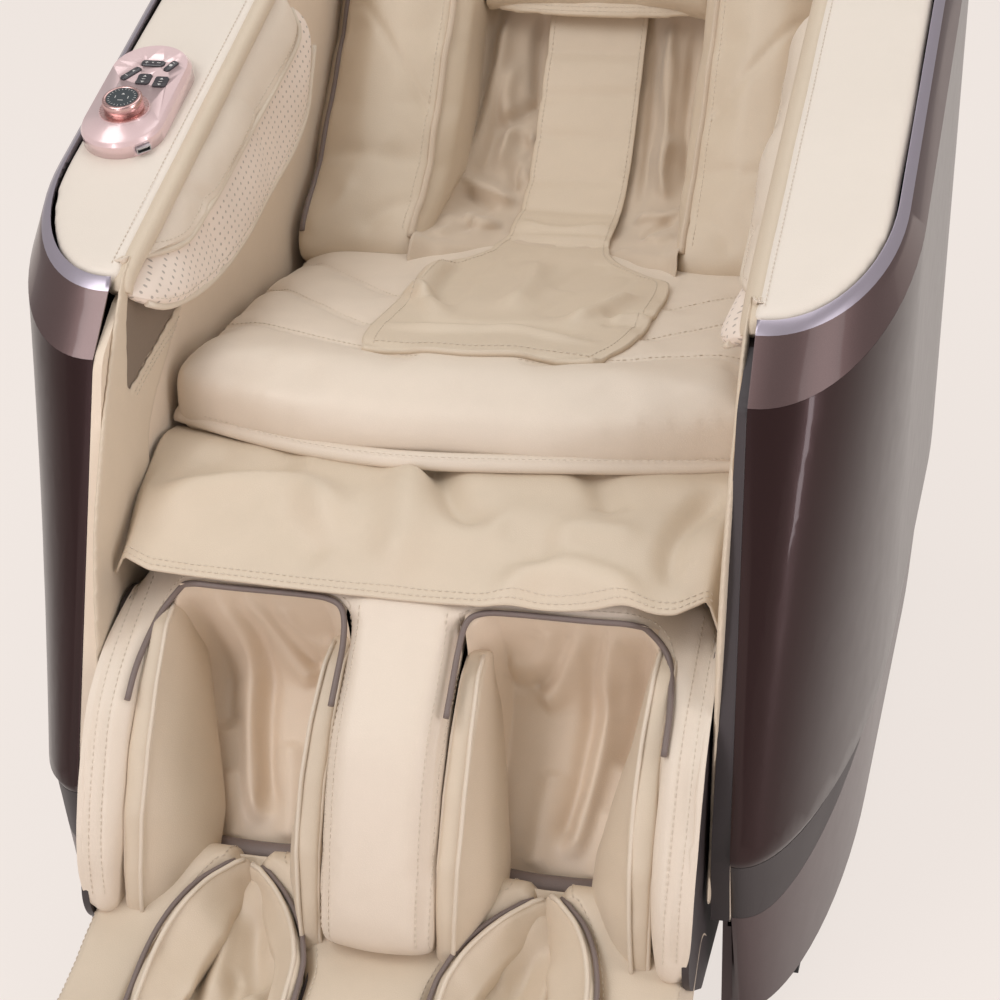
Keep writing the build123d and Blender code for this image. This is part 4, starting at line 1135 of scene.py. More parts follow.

# %% [markdown]
# ## The back
# Between two tall bolsters hangs a loose cloth that the massage rollers press on. It has more
# cloth than it needs, so it falls in long folds and bunches where it meets the seat.

# %% Bolsters and wings
BOLSTER_SEAMS = [  # points (x, up the back) on the right side, width, height
    ([(250, 640), (225, 645), (190, 600), (150, 545), (132, 520)], 3.4, -4.2),
    ([(246, 392), (216, 420), (204, 452)], 9, 5),
    ([(190, 396), (160, 424), (134, 428)], 8, -5),
    ([(250, 760), (200, 770), (140, 750)], 3.4, -4.0),
]
FLANGE_LINE = [(137, 392), (136, 460), (137, 560), (138, 700), (139, 960)]
WELT_LINE = [(249, 392), (250, 480), (250, 600), (249, 760), (248, 960)]
for side, tag in ((-1, "l"), (1, "r")):
    for part in range(len(loose_parts(f"bolster_{tag}"))):
        pad = Soft.solid(BACK, f"bolster_{tag}", part, voxel=6.0)
        low = pad.points[:, 1].min() < 600
        if low:
            reach = smooth_step(478 - pad.points[:, 1], 0, 72)
            reach *= smooth_step(pad.points[:, 2], 170, 230)
            pad.points[:, 1] -= 36 * reach
            pad.points[:, 2] += 12 * reach
        pad.relax(5)
        pad.swell(pressure=4.0, cap=11.0 if low else 6.0, start=0.0)
        pad.relax(2)
        if low:
            pad.folds(BOLSTER_SEAMS, 0.15, side)
        pad.rumple(80, 3.0, seed=2.0 + side)
        pad.rumple(28, 0.9, seed=4.0 + side)
        name = f"{'bolster' if low else 'wing'}_pad_{tag}"
        piece = pad.make(name, beige_leather, "backrest", "beige_leather",
                         replaces=(f"bolster_{tag}",))
        if low:
            edge = curve(sided(side, FLANGE_LINE), 14)
            welt(f"bolster_flange_{tag}", pad, edge, 4.2, beige_cloth, "backrest", "beige_leather",
                 lift=1.0, flat=0.6)
            outer = curve(sided(side, WELT_LINE), 14)
            welt(f"bolster_welt_{tag}", pad, outer, 3.2, taupe_welt, "backrest", "beige_leather",
                 lift=0.5)
            stitches(pad, curve(sided(side, [(146, 400), (145, 560), (147, 940)]), 40), "backrest")
print("bolsters blown up")

# %% Wrinkled cloth beside the strap
cloth_line = curve([(366, 238), (396, 238), (414, 215), (434, 190), (462, 165), (500, 146),
                    (545, 135), (610, 131), (760, 130), (1000, 130)], 8)
cloth_long = run_lengths(cloth_line)


def cloth_place(u, v):
    x = 134 * (2 * u - 1)
    along = v * cloth_long[-1]
    up = np.interp(along, cloth_long, cloth_line[:, 0])
    out = np.interp(along, cloth_long, cloth_line[:, 1])
    share = abs(2 * u - 1)
    low = 1 - smooth_step(up, 415, 500)
    bulge = 3 * (1 - share ** 2) + 40 * low * smooth_step(abs(x), 54, 112)
    edge = max(0.0, share - 0.82) / 0.18
    return (x, up - 10 * low * smooth_step(abs(x), 54, 112),
            out + bulge + (46 - 26 * low) * edge ** 1.6)


back_cloth = Soft.grid(BACK, cloth_place, 100, 190)
CLOTH_FOLDS = [  # points (x, v), width, height; left side of the strap, then the right
    ([(-100, 700), (-104, 620), (-112, 540), (-118, 470)], 7, 15),
    ([(-62, 700), (-64, 640), (-60, 600), (-58, 560)], 8, -18),
    ([(-60, 596), (-76, 572), (-98, 552)], 6, -15),
    ([(-86, 640), (-92, 590), (-84, 548), (-92, 500)], 9, 15),
    ([(-72, 556), (-64, 530), (-70, 500), (-62, 470)], 6, -14),
    ([(-58, 560), (-66, 520), (-60, 486)], 5, 11),
    ([(-128, 496), (-104, 486), (-74, 474), (-60, 462)], 8, 19),
    ([(-122, 476), (-98, 462), (-78, 450)], 6, -12),
    ([(-104, 444), (-84, 430), (-66, 436)], 7, 16),
    ([(-92, 452), (-90, 430), (-98, 412)], 5, -10),
    ([(-118, 440), (-110, 420), (-120, 404)], 6, 10),
    ([(-116, 700), (-120, 600), (-126, 520)], 5, -10),
    ([(74, 700), (80, 600), (86, 520), (92, 470)], 6, 12),
    ([(62, 690), (64, 600), (66, 520), (70, 460)], 5, -11),
    ([(104, 700), (102, 600), (106, 540), (112, 480)], 6, -11),
    ([(112, 690), (114, 610), (108, 548)], 5, 10),
    ([(92, 560), (84, 520), (96, 478)], 7, 11),
    ([(122, 472), (102, 458), (80, 456), (66, 446)], 7, 16),
    ([(112, 450), (92, 436), (84, 420)], 5, -11),
    ([(118, 430), (104, 418), (88, 424)], 6, 11),
]
back_cloth.folds(CLOTH_FOLDS, 0.22)
back_cloth.rumple(46, 5.0, seed=12.0, stretch=(1.5, 0.8))
back_cloth.rumple(20, 1.4, seed=3.0)
back_cloth.relax(2)
thicken(back_cloth, 1.6)
cloth_piece = back_cloth.make("back_cloth", beige_cloth, None, "beige_fabric", level=0,
                              replaces=("back_cover",))
tuple(BACK.at(0, 415, 190))
tuple(BACK.at(0, 520, 150))
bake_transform(cloth_piece)
print("cloth folds", len(CLOTH_FOLDS))

# %% [markdown]
# The centre strap runs down the back, turns onto the seat and widens into a loose flap. It is
# one piece of leather, so it is one grid: a row across for every step along its run.

# %% Strap and flap
run_back = [(1000, 149), (800, 149), (640, 149), (560, 150), (505, 158), (472, 173), (448, 194)]
run_back = [tuple(PLAIN.local([BACK.at(0, v, w)])[0][1:]) for v, w in run_back]
run_seat = [(66, 472), (10, 470), (-60, 473), (-150, 480), (-230, 487), (-306, 492)]
strap_run = curve(run_back + run_seat, 12)
strap_long = run_lengths(strap_run)
TOTAL = strap_long[-1]
left_edge = profile([(0, -52), (TOTAL - 430, -54), (TOTAL - 350, -57), (TOTAL - 306, -66),
                     (TOTAL - 268, -88), (TOTAL - 236, -99), (TOTAL - 120, -100),
                     (TOTAL - 30, -103), (TOTAL, -97)])
right_edge = profile([(0, 52), (TOTAL - 430, 53), (TOTAL - 350, 57), (TOTAL - 300, 74),
                      (TOTAL - 262, 112), (TOTAL - 232, 139), (TOTAL - 120, 142), (TOTAL - 50, 136),
                      (TOTAL, 112)])


def strap_place(u, v):
    along = v * TOTAL
    left, right = float(left_edge(along)), float(right_edge(along))
    x = left + (right - left) * u
    y = np.interp(along, strap_long, strap_run[:, 0])
    z = np.interp(along, strap_long, strap_run[:, 1])
    loose = smooth_step(along, TOTAL - 330, TOTAL - 200)
    edge = min(u, 1 - u) * (right - left)
    wave = 2.2 * math.sin(along / 13.0 + 5 * u) * math.exp(-edge / 14.0) * loose
    curl = 3.5 * math.exp(-edge / 4.0)
    front = 14 * loose * math.sin(math.pi * u) * smooth_step(along, TOTAL - 60, TOTAL)
    return (x, y - front * 0.7, z + wave - curl)


STRAP_ACROSS, STRAP_ALONG = 72, 300
strap = Soft.grid(PLAIN, strap_place, STRAP_ACROSS, STRAP_ALONG)
STRAP_FOLDS = [  # points (x, y) seen from above, width, height
    ([(-56, 40), (-60, -20), (-62, -90), (-58, -160), (-66, -210)], 13, -13.6),
    ([(-84, -30), (-86, -110), (-74, -170), (-40, -236)], 13, 11.9),
    ([(-98, -150), (-80, -170), (-66, -186)], 8, 8.5),
    ([(-10, -10), (4, -60), (10, -130), (6, -200)], 14, 8.5),
    ([(60, -6), (52, -60), (40, -120)], 11, -8.5),
    ([(90, -30), (80, -90), (62, -150), (40, -210)], 14, -8.5),
    ([(112, -110), (92, -170), (66, -220)], 10, 10.2),
    ([(140, -166), (116, -172), (96, -190)], 5, -6.0),
    ([(142, -182), (122, -186), (104, -196)], 5, 5.1),
    ([(138, -204), (116, -204), (100, -212)], 5, -5.1),
    ([(-56, 66), (0, 48), (58, 62)], 8, -6.8),
    ([(-60, 96), (0, 78), (58, 96)], 7, 4.2),
    ([(-102, -252), (-40, -262), (20, -246), (70, -262), (120, -262)], 7, 6.8),
    ([(-70, -238), (-10, -240), (40, -228), (96, -240)], 8, -6.8),
]
seat_tree = BVHTree.FromPolygons([Vector(point) for point in seat.points], seat.faces)


def rest_on_seat(gap, keep):
    """Lay the flap on the seat: never closer than gap, and a share of its height is kept."""
    for point in strap.points:
        below, _, _, _ = seat_tree.ray_cast(Vector((point[0], point[1], 700)), Vector((0, 0, -1)))
        if below is not None and point[1] < 60:
            point[2] = below.z + gap + max(0.0, keep * (point[2] - below.z - gap))


rest_on_seat(5.0, 0.3)
strap.relax(1)
strap.folds(STRAP_FOLDS, 0.25)
rest_on_seat(2.5, 1.0)
strap.relax(1)
out_normal = strap.normals()
for i, place in enumerate(np.linspace(120, TOTAL - 380, 11)):
    here = np.array([np.interp(place, strap_long, strap_run[:, k]) for k in range(2)])
    drift = np.outer(strap.points[:, 0], (0.04 * (-1) ** i, 0.05))
    away = np.linalg.norm(strap.points[:, 1:] - here - drift, axis=1)
    strap.points += out_normal * (-2.2 * np.exp(-(away / 8.0) ** 2))[:, None]
strap.rumple(70, 2.2, seed=6.0)
row_size = STRAP_ACROSS + 1
strap_rows = [[strap.points[j * row_size + k] + out_normal[j * row_size + k] * 0.4
               for j in range(2, STRAP_ALONG - 2)] for k in (4, STRAP_ACROSS - 4)]
front_row = [strap.points[(STRAP_ALONG - 4) * row_size + k] + (0, 0, 0.5)
             for k in range(4, STRAP_ACROSS - 3)]
thicken(strap, 6.0)
strap_piece = strap.make("strap_and_flap", beige_leather, None, "beige_leather", level=0,
                         replaces=("back_strap", "seat_flap"))
tuple(BACK.at(0, 415, 190))
tuple(BACK.at(0, 520, 150))
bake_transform(strap_piece)
for row in strap_rows:
    split = [i for i, point in enumerate(row) if BACK.local([PLAIN.world([point])[0]])[0][1] < 470]
    upper, lower = row[:split[0]], row[split[0]:]
    keep_row("backrest", PLAIN.world(upper), tuple(BACK_OUT))
    keep_row("base", PLAIN.world(lower), (0, 0, 1))
keep_row("base", PLAIN.world(front_row), (0, 0, 1))
print("strap and flap", len(strap.points))

# %% [markdown]
# The neck pillow is a cushion with a flat hem below, and the head pad behind it closes the top
# of the back.

# %% Pillow and head pad
pillow = Soft.solid(BACK, "head_pillow", voxel=6.0)
pillow.relax(5)
pillow.swell(pressure=4.0, cap=14.0, start=4.0)
for x in (-44, 44):
    pillow.crease([(x, 650), (x, 800), (x * 0.9, 990)], 4.2, -4.0, fade=0.03)
pillow.rumple(70, 3.0, seed=3.0)
pillow_piece = pillow.make("neck_pillow", beige_leather, "backrest", "beige_leather",
                           replaces=("head_pillow",))
HEM_SEAM = [(-134, 702), (-98, 678), (-40, 672), (42, 673), (99, 680), (134, 704)]
hem_line = curve([(-138, 706), (-128, 690), (-98, 677), (-40, 671), (42, 672), (99, 679),
                  (130, 692), (140, 708)], 8)
hem = Soft.plate(BACK, np.vstack([hem_line, [(132, 722), (0, 716), (-132, 722)]]), 7, 2.5,
                 voxel=3.2)
hem.relax(2)
hem.bend(lambda x, v: 168 + 0.10 * (v - 672) - 14 * (x / 140.0) ** 2)
hem.rumple(30, 1.4, seed=5.0)
hem_piece = hem.make("pillow_hem", beige_leather, "backrest", "beige_leather")
for lift in (4.5, 9.0):
    stitches(hem, curve([(x * 0.96, v + lift) for x, v in HEM_SEAM], 12), "backrest")
head = Soft.solid(BACK, "head_pad", voxel=8.0)
head.relax(4)
head.swell(pressure=3.0, cap=8.0, start=4.0)
for x in (-70, 70):
    head.crease([(x, 1010), (x * 0.9, 1150), (x, 1300)], 6, -4.0, fade=0.05)
head.rumple(110, 3.0, seed=9.0)
head_piece = head.make("head_cushion", beige_leather, "backrest", "beige_leather",
                       replaces=("head_pad",))
print("pillow and head pad in place")

# %% [markdown]
# ## The arms
# The arm top is a thin cream pad. Its inner edge is a soft roll that turns down the front of the
# arm. Below the roll hang two leaf-shaped air cushions, the upper one smooth and the lower one in
# punched cloth, and both end in a welt. The board behind them is covered in two layers, with a
# very dark sheet between them as painted shade for the inside of an open pocket.

# %% Arm pads and rolls
BOARD_X = 264.0
UPPER_LOBE = [(18, 4), (34, -6), (57, -19), (102, -39), (148, -44), (198, -48), (298, -52),
              (367, -56), (437, -57), (453, -36), (462, -12)]
LOWER_LOBE = [(0, -22), (14, -40), (35, -56), (88, -85), (147, -108), (217, -123), (288, -128),
              (365, -136), (420, -130), (446, -110), (472, -86), (480, -64)]
ROLL_LINE = [(265, 900, -9), (265, 500, -9), (265, 120, -9), (266, 20, -10), (267, 2, -19)]


def lobe(name, side, outline, top, reach, material, slot, replaces):
    """A leaf cushion along the arm's inner wall, with its lower edge on the given outline."""
    frame_of = wall(side)
    edge = curve(outline, 8)
    order = np.argsort(edge[:, 0])
    sections = []
    for t in np.linspace(outline[0][0], outline[-1][0], 66):
        low = float(np.interp(t, edge[order, 0], edge[order, 1]))
        high = float(np.interp(t, *zip(*top)))
        size = high - low
        out = reach * (1 - (1 - min(1.0, size / 46.0)) ** 2)
        belly = out + 3.0 * math.sin(t / 31.0)
        ring = [(high, 0), (high - 1, 0.3 * out), (high - 0.2 * size, 0.62 * belly),
                (high - 0.46 * size, 0.86 * belly), (high - 0.74 * size, 1.0 * belly),
                (low + 4, out), (low, out - 1), (low - 1, out - 6), (low + 2, 0.45 * out),
                (low + 4, 0)]
        sections.append([(t, d, across - BOARD_X)
                         for d, across in curve(ring, RING_STEPS, closed=True)])
    pad = stacked(frame_of, sections, shrink=0.4)
    pad.relax(2)
    pad.rumple(70, 3.0, seed=2.0 + side)
    pad.rumple(22, 0.9, seed=6.0 + side)
    for where, depth in ((0.3, 3.0), (0.62, 2.4)):
        t = outline[0][0] + where * (outline[-1][0] - outline[0][0])
        pad.crease(curve([(t - 16, -4), (t + 4, -30), (t + 12, -70), (t, -120)], 6), 7, -depth,
                   fade=0.1)
    piece = pad.make(name, material, "base", slot, replaces=replaces, level=1, uv=(0, 1))
    line = [sections[i][6 * RING_STEPS] for i in range(1, 65)]
    tube(f"{name}_welt", frame_of.world(line), 3.0 * MM, light_welt, "base", slot, sides=10)
    seam = [(t, d + 6.5, across + 1.2) for t, d, across in (sections[i][16] for i in range(2, 64))]
    stitches(pad, [(t, d) for t, d, _ in seam], "base", 0.3)


for side, tag in ((-1, "l"), (1, "r")):
    pad = Soft.solid(ARM, f"arm_pad_{tag}", voxel=6.0)
    pad.relax(2)
    pad.rumple(120, 1.2, seed=8.0 + side)
    piece = pad.make(f"arm_top_{tag}", arm_cream, "base", "cream_leather",
                     replaces=(f"arm_pad_{tag}",))
    roll = curve(sided(side, ROLL_LINE), 10)
    tube(f"arm_roll_{tag}", ARM.world(roll), 11.5 * MM, beige_leather, "base", "beige_leather",
         sides=16, flat=0.85)
    row = [(side * 275, t, 3.4) for t in np.linspace(14, 560, 140)]
    keep_row("base", ARM.world(row), tuple(ARM_OUT))
    lobe(f"lower_lobe_{tag}", side, LOWER_LOBE, [(0, -14), (60, -22), (480, -40)], 27, mesh_cloth,
         "perforated_fabric",
         (f"airbag_lower_{tag}",))
    lobe(f"upper_lobe_{tag}", side, UPPER_LOBE, [(18, -2), (40, -11), (462, -12)], 25,
         cream_leather, "cream_leather",
         (f"airbag_upper_{tag}",))
print("arm pads, rolls and lobes in place")

# %% Inner boards
FRONT_COVER = [(-434, 600), (-467, 556), (-502, 501), (-524, 459), (-548, 400), (-566, 300),
               (-578, 200), (-584, 140), (-430, 140), (-424, 300), (-414, 420), (-392, 462),
               (-340, 500), (-300, 528), (-322, 526), (-440, 500), (-445, 508), (-441, 530),
               (-436, 557), (-422, 586), (-408, 608)]
POCKET = [(-447, 503), (-441, 530), (-436, 560), (-420, 592), (-380, 606), (-330, 580), (-306, 530),
          (-330, 521), (-390, 508), (-438, 497)]
# Painted shade: a very dark leather for the sheet that stands for the inside of the open pocket.
painted_pocket_shade = leather("painted_pocket_shade", (0.2, 0.15, 0.11), roughness=0.6)
for side, tag in ((-1, "l"), (1, "r")):
    board = smooth_copy(f"inner_panel_{tag}", well_leather, extra=(dark_plastic,))
    for face in board.data.polygons:
        face.use_smooth = False
        # Painted shade: on the right board only, the faces that do not face across take the dark plastic, as shade
        # in the gap beside the seat and apron.
        if abs(face.normal.x) < 0.8 and side > 0:
            face.material_index = 1
    side_view = Basis((0, 1, 0), (0, 0, 1), (-side, 0, 0))
    ring = curve(FRONT_COVER, 4, closed=True)
    cover = Soft.plate(side_view, ring, 5.0, 2.2, voxel=4.0)
    cover.relax(1)
    cover.bend(lambda y, z: -265.0)
    cover.rumple(60, 0.8, seed=3.0)
    piece = cover.make(f"front_cover_{tag}", beige_leather, "base", "beige_leather")
    for gap in (5, 10):
        stitches(cover, curve([(-308, 524 - gap), (-370, 514 - gap), (-436, 498 - gap)], 24),
                 "base")
    # Painted shade: a thin dark sheet set back in the cover's notch, in place of the pocket's shaded inside.
    pocket = Soft.plate(side_view, curve(POCKET, 4, closed=True), 1.6, 0.6, voxel=3.0)
    pocket.bend(lambda y, z: -264.6)
    piece = pocket.make(f"arm_pocket_{tag}", painted_pocket_shade, "base", "beige_leather")
print("boards covered")

# %% [markdown]
# ## The foot unit
# Two wells for the feet open below the calves like boots. A welt starts at the middle of each
# well's back and curves outwards and down, with a padded band outside it and a tall cushion
# inside. A padded strip covers the middle, and a loose cloth hides the sole rollers.

# %% Foot unit
FOOT_HALF = 258
STRIP_ACROSS, STRIP_ALONG = 44, 130
smooth_copy("foot_housing", dark_plastic)
TOP_RUN = curve([(-520, 92), (-562, 121), (-590, 137), (-622, 118), (-656, 97), (-722, 80),
                 (-786, 73), (-808, 68)], 8)
top_long = run_lengths(TOP_RUN)
outer_wall = profile([(-830, 187), (-740, 187), (-686, 186), (-649, 178), (-620, 164), (-600, 146),
                      (-586, 136), (-500, 134)])
inner_wall = profile([(-830, 57), (-700, 58), (-665, 64), (-640, 76), (-617, 94), (-600, 112),
                      (-586, 124), (-500, 126)])


def foot_strip(name, first, last):
    """A padded strip over the foot unit; each edge is a function of the place along."""
    def place(u, v):
        along = v * top_long[-1]
        y = np.interp(along, top_long, TOP_RUN[:, 0])
        z = np.interp(along, top_long, TOP_RUN[:, 1])
        left, right = first(y), last(y)
        x = left + (right - left) * u
        edge = min(u, 1 - u) * (right - left)
        return (x, y,
                z + 7 - 13 * math.exp(-(edge / 6.0) ** 2) - 20 * smooth_step(abs(x), 251.5, 257))

    strip = Soft.grid(PLAIN, place, STRIP_ACROSS, STRIP_ALONG)
    strip.rumple(50, 2.2, seed=first(-800))
    rows = [[strip.points[j * (STRIP_ACROSS + 1) + k] + (0, 0, 0.6)
             for j in range(10, STRIP_ALONG - 2)] for k in (4, STRIP_ACROSS - 4)]
    thicken(strip, 4.0)
    piece = strip.make(name, beige_leather, "foot_unit", "beige_leather", level=0)
    for row in rows:
        keep_row("foot_unit", PLAIN.world(row), (0, -0.3, 0.95))


foot_strip("foot_middle_pad", lambda y: 3 - inner_wall(y), lambda y: inner_wall(y) - 3)
foot_strip("foot_band_l", lambda y: -FOOT_HALF, lambda y: -outer_wall(y) - 2)
foot_strip("foot_band_r", lambda y: outer_wall(y) + 2, lambda y: FOOT_HALF)
for side, tag in ((-1, "l"), (1, "r")):
    for inner in (False, True):
        edge, inwards = (inner_wall, side) if inner else (outer_wall, -side)
        sections = []
        for y in np.linspace(-590, -800, 48):
            top = np.interp(y, [-800, -740, -686, -649, -620, -590],
                            [70, 88, 106, 120, 130, 139]) - (4 if inner else 0)
            belly = np.interp(y, [-800, -760, -700, -640, -610, -590],
                              [6, 22, 38, 34, 18, 6]) * (0.6 if inner else 1.0)
            at = side * edge(y)
            ring = [(0, 58), (-2, top - 10), (0, top - 1), (5, top + 1), (10, top - 4),
                    (0.62 * belly + 6, top * 0.84), (belly + 3, 0.5 * (top + 58)),
                    (0.85 * belly, 62), (0.4 * belly, 58)]
            sections.append([(at + inwards * across, y, z)
                             for across, z in curve(ring, RING_STEPS, closed=True)])
        pad = stacked(PLAIN, sections, shrink=0.4)
        pad.rumple(46, 3.0, seed=7.0 + side)
        pad.rumple(18, 0.9, seed=3.0 + side)
        name = f"foot_leaf_{'in' if inner else 'out'}_{tag}"
        piece = pad.make(name, beige_leather, "foot_unit", "beige_leather",
                         replaces=("foot_pads",) if (inner and side < 0) else ())
        for cord, where, shift in (("a", 9, 0), ("b", 6, -inwards * 3.2)):
            line = [sections[i][where] for i in range(1, 47)]
            tube(f"{name}_welt_{cord}", PLAIN.world([(x + shift, y, z + 1.0) for x, y, z in line]),
                 2.3 * MM,
                 light_welt if cord == "a" else taupe_welt, "foot_unit", "beige_leather")


SOLE_FLOOR = 57.5


def sole_run(v):
    line = curve([(-582, 136), (-596, 116), (-614, 92), (-650, 72), (-712, 62), (-780, 60),
                  (-804, 68)], 8)
    long = run_lengths(line)
    return np.interp(v * long[-1], long, line[:, 0]), np.interp(v * long[-1], long, line[:, 1])


SOLE_FOLDS = [([(90, -640), (112, -606), (130, -588)], 9, 10),
              ([(120, -600), (112, -640), (98, -690)], 10, -10),
              ([(150, -600), (140, -640), (134, -700)], 9, 10),
              ([(126, -650), (118, -690), (124, -730)], 7, -8),
              ([(86, -660), (100, -700), (92, -740)], 9, 8),
              ([(160, -640), (152, -680), (160, -720)], 8, -7),
              ([(70, -760), (120, -750), (176, -764)], 12, 4)]
for side, tag in ((-1, "l"), (1, "r")):
    sole = Soft.grid(PLAIN, lambda u, v: (side * (59 + 126 * u), *sole_run(v)), 60, 110)
    sole.folds(SOLE_FOLDS, 0.2, side)
    sole.rumple(34, 4.0, seed=4.0 + side)
    sole.points[:, 2] = np.maximum(sole.points[:, 2], SOLE_FLOOR)
    sole.relax(1)
    thicken(sole, 1.6)
    piece = sole.make(f"sole_cloth_{tag}", beige_leather, "foot_unit", "beige_leather", level=0)
print("foot unit dressed")

# %% [markdown]
# ## The controller
# The capsule is pearl pink. The knob has a rose-gold wall and a glossy dark face, and the keys
# carry plain marks: a bar, a ring, arrows. They are thin solid marks on top of each key, so they
# move with it.

# %% Controller
mark_ink = moulded("mark_ink", (0.62, 0.60, 0.58), 0.5)
rose_metal = metal("rose_metal", (0.72, 0.47, 0.45), 0.28)
glass_face = moulded("glass_face", (0.05, 0.06, 0.066), 0.12, grain=300.0, depth=0.00001)
smooth_copy("controller_pod", rose_pearl, angle=24.0)
smooth_copy("knob", rose_metal)
for name in ("button_1", "button_2", "button_3", "rocker_1", "rocker_2"):
    smooth_copy(name, gloss_key, angle=24.0)
POD_MIDDLE = (-323.0, 234.0)
KNOB_MIDDLE = (-324.0, 206.0)


def on_pod(offset):
    """A place on the arm, given from the pod's middle."""
    return POD_MIDDLE[0] + offset[0], POD_MIDDLE[1] + offset[1]


def marks(name, body, middle, turn, height, shapes, material, thick):
    """Flat solid marks in the arm's frame; each shape is an outline around the middle."""
    build = bmesh.new()
    c, s = math.cos(math.radians(turn)), math.sin(math.radians(turn))
    for shape in shapes:
        ring = [(middle[0] + x * c - y * s, middle[1] + x * s + y * c) for x, y in shape]
        area = sum(a[0] * b[1] - b[0] * a[1] for a, b in zip(ring, ring[1:] + ring[:1]))
        ring = ring if area > 0 else ring[::-1]
        low = [build.verts.new(ARM.at(x, y, height)) for x, y in ring]
        high = [build.verts.new(ARM.at(x, y, height + thick)) for x, y in ring]
        build.faces.new(high)
        build.faces.new(low[::-1])
        for i in range(len(ring)):
            j = (i + 1) % len(ring)
            build.faces.new((low[i], low[j], high[j], high[i]))
    mesh = bpy.data.meshes.new(name)
    build.to_mesh(mesh)
    build.free()
    piece = link(name, mesh, material)
    return dress(piece, body)


def disc(radius, steps):
    turns = [2 * math.pi * i / steps for i in range(steps)]
    return [(radius * math.cos(turn), radius * math.sin(turn)) for turn in turns]


def bar(x, y, wide, high):
    return [(x + i * wide / 2, y + j * high / 2) for i, j in ((-1, -1), (1, -1), (1, 1), (-1, 1))]


def arrow(x, y, size, up=1):
    foot = y - up * size * 0.6
    return [(x - size, foot), (x + size, foot), (x, y + up * size * 0.8)]


marks("knob_face", "dial", KNOB_MIDDLE, 0, 33.72, [disc(14.2, 64)], glass_face, 0.85)
ticks = []
for i in range(24):
    turn = 2 * math.pi * i / 24
    c, s = math.cos(turn), math.sin(turn)
    near, far, half = 11.2, 12.8 if i % 6 else 13.4, 0.22
    ticks.append([(near * c + half * s, near * s - half * c),
                  (far * c + half * s, far * s - half * c),
                  (far * c - half * s, far * s + half * c),
                  (near * c - half * s, near * s + half * c)])
ticks += [arrow(0, 5.0, 1.6), bar(0, -4.5, 5.0, 0.7), bar(-6, 0, 0.7, 3.4), bar(6, 0, 0.7, 3.4)]
marks("knob_marks", "dial", KNOB_MIDDLE, 0, 34.57, ticks, mark_ink, 0.12)
marks("knob_grip_ring", "base", KNOB_MIDDLE, 0, 22.4, [disc(22.4, 64)], rose_metal, 0.9)
KEYS = {"key_1": ((-14.0, 28.0), 58.0), "key_2": ((2.0, 45.0), 0.0), "key_3": ((20.0, 42.0), 66.0)}
KEY_SHAPES = {
    "key_1": [bar(-5, 0, 0.7, 3.0), arrow(3.5, 0, 1.6)],
    "key_2": [bar(-6, 0, 3.0, 0.7), bar(-6, 0, 0.7, 3.0), bar(5.5, 0, 3.4, 0.7),
              bar(0, 0, 1.2, 1.2)],
    "key_3": [disc(1.7, 16), bar(4.2, 0, 0.7, 2.4)],
}
for key, (at, turn) in KEYS.items():
    marks(f"{key}_marks", key, on_pod(at), turn, 21.6, KEY_SHAPES[key], mark_ink, 0.15)
TILT_SHAPES = [arrow(0, 4.4, 1.7), arrow(0, -4.4, 1.7, -1), bar(0, 0, 3.4, 0.6)]
for key, at in (("tilt_key_1", (1.0, 20.0)), ("tilt_key_2", (18.0, 17.0))):
    marks(f"{key}_marks", key, on_pod(at), 0, 20.85, TILT_SHAPES, mark_ink, 0.35)
print("controller dressed")

# %% [markdown]
# ## Stitches
# The rows were collected while the covers were made. For each body they become a cloud of
# places with a direction along the row and one away from the cover. Geometry Nodes sets a short
# rounded thread on every place, and the result is turned into a plain mesh.


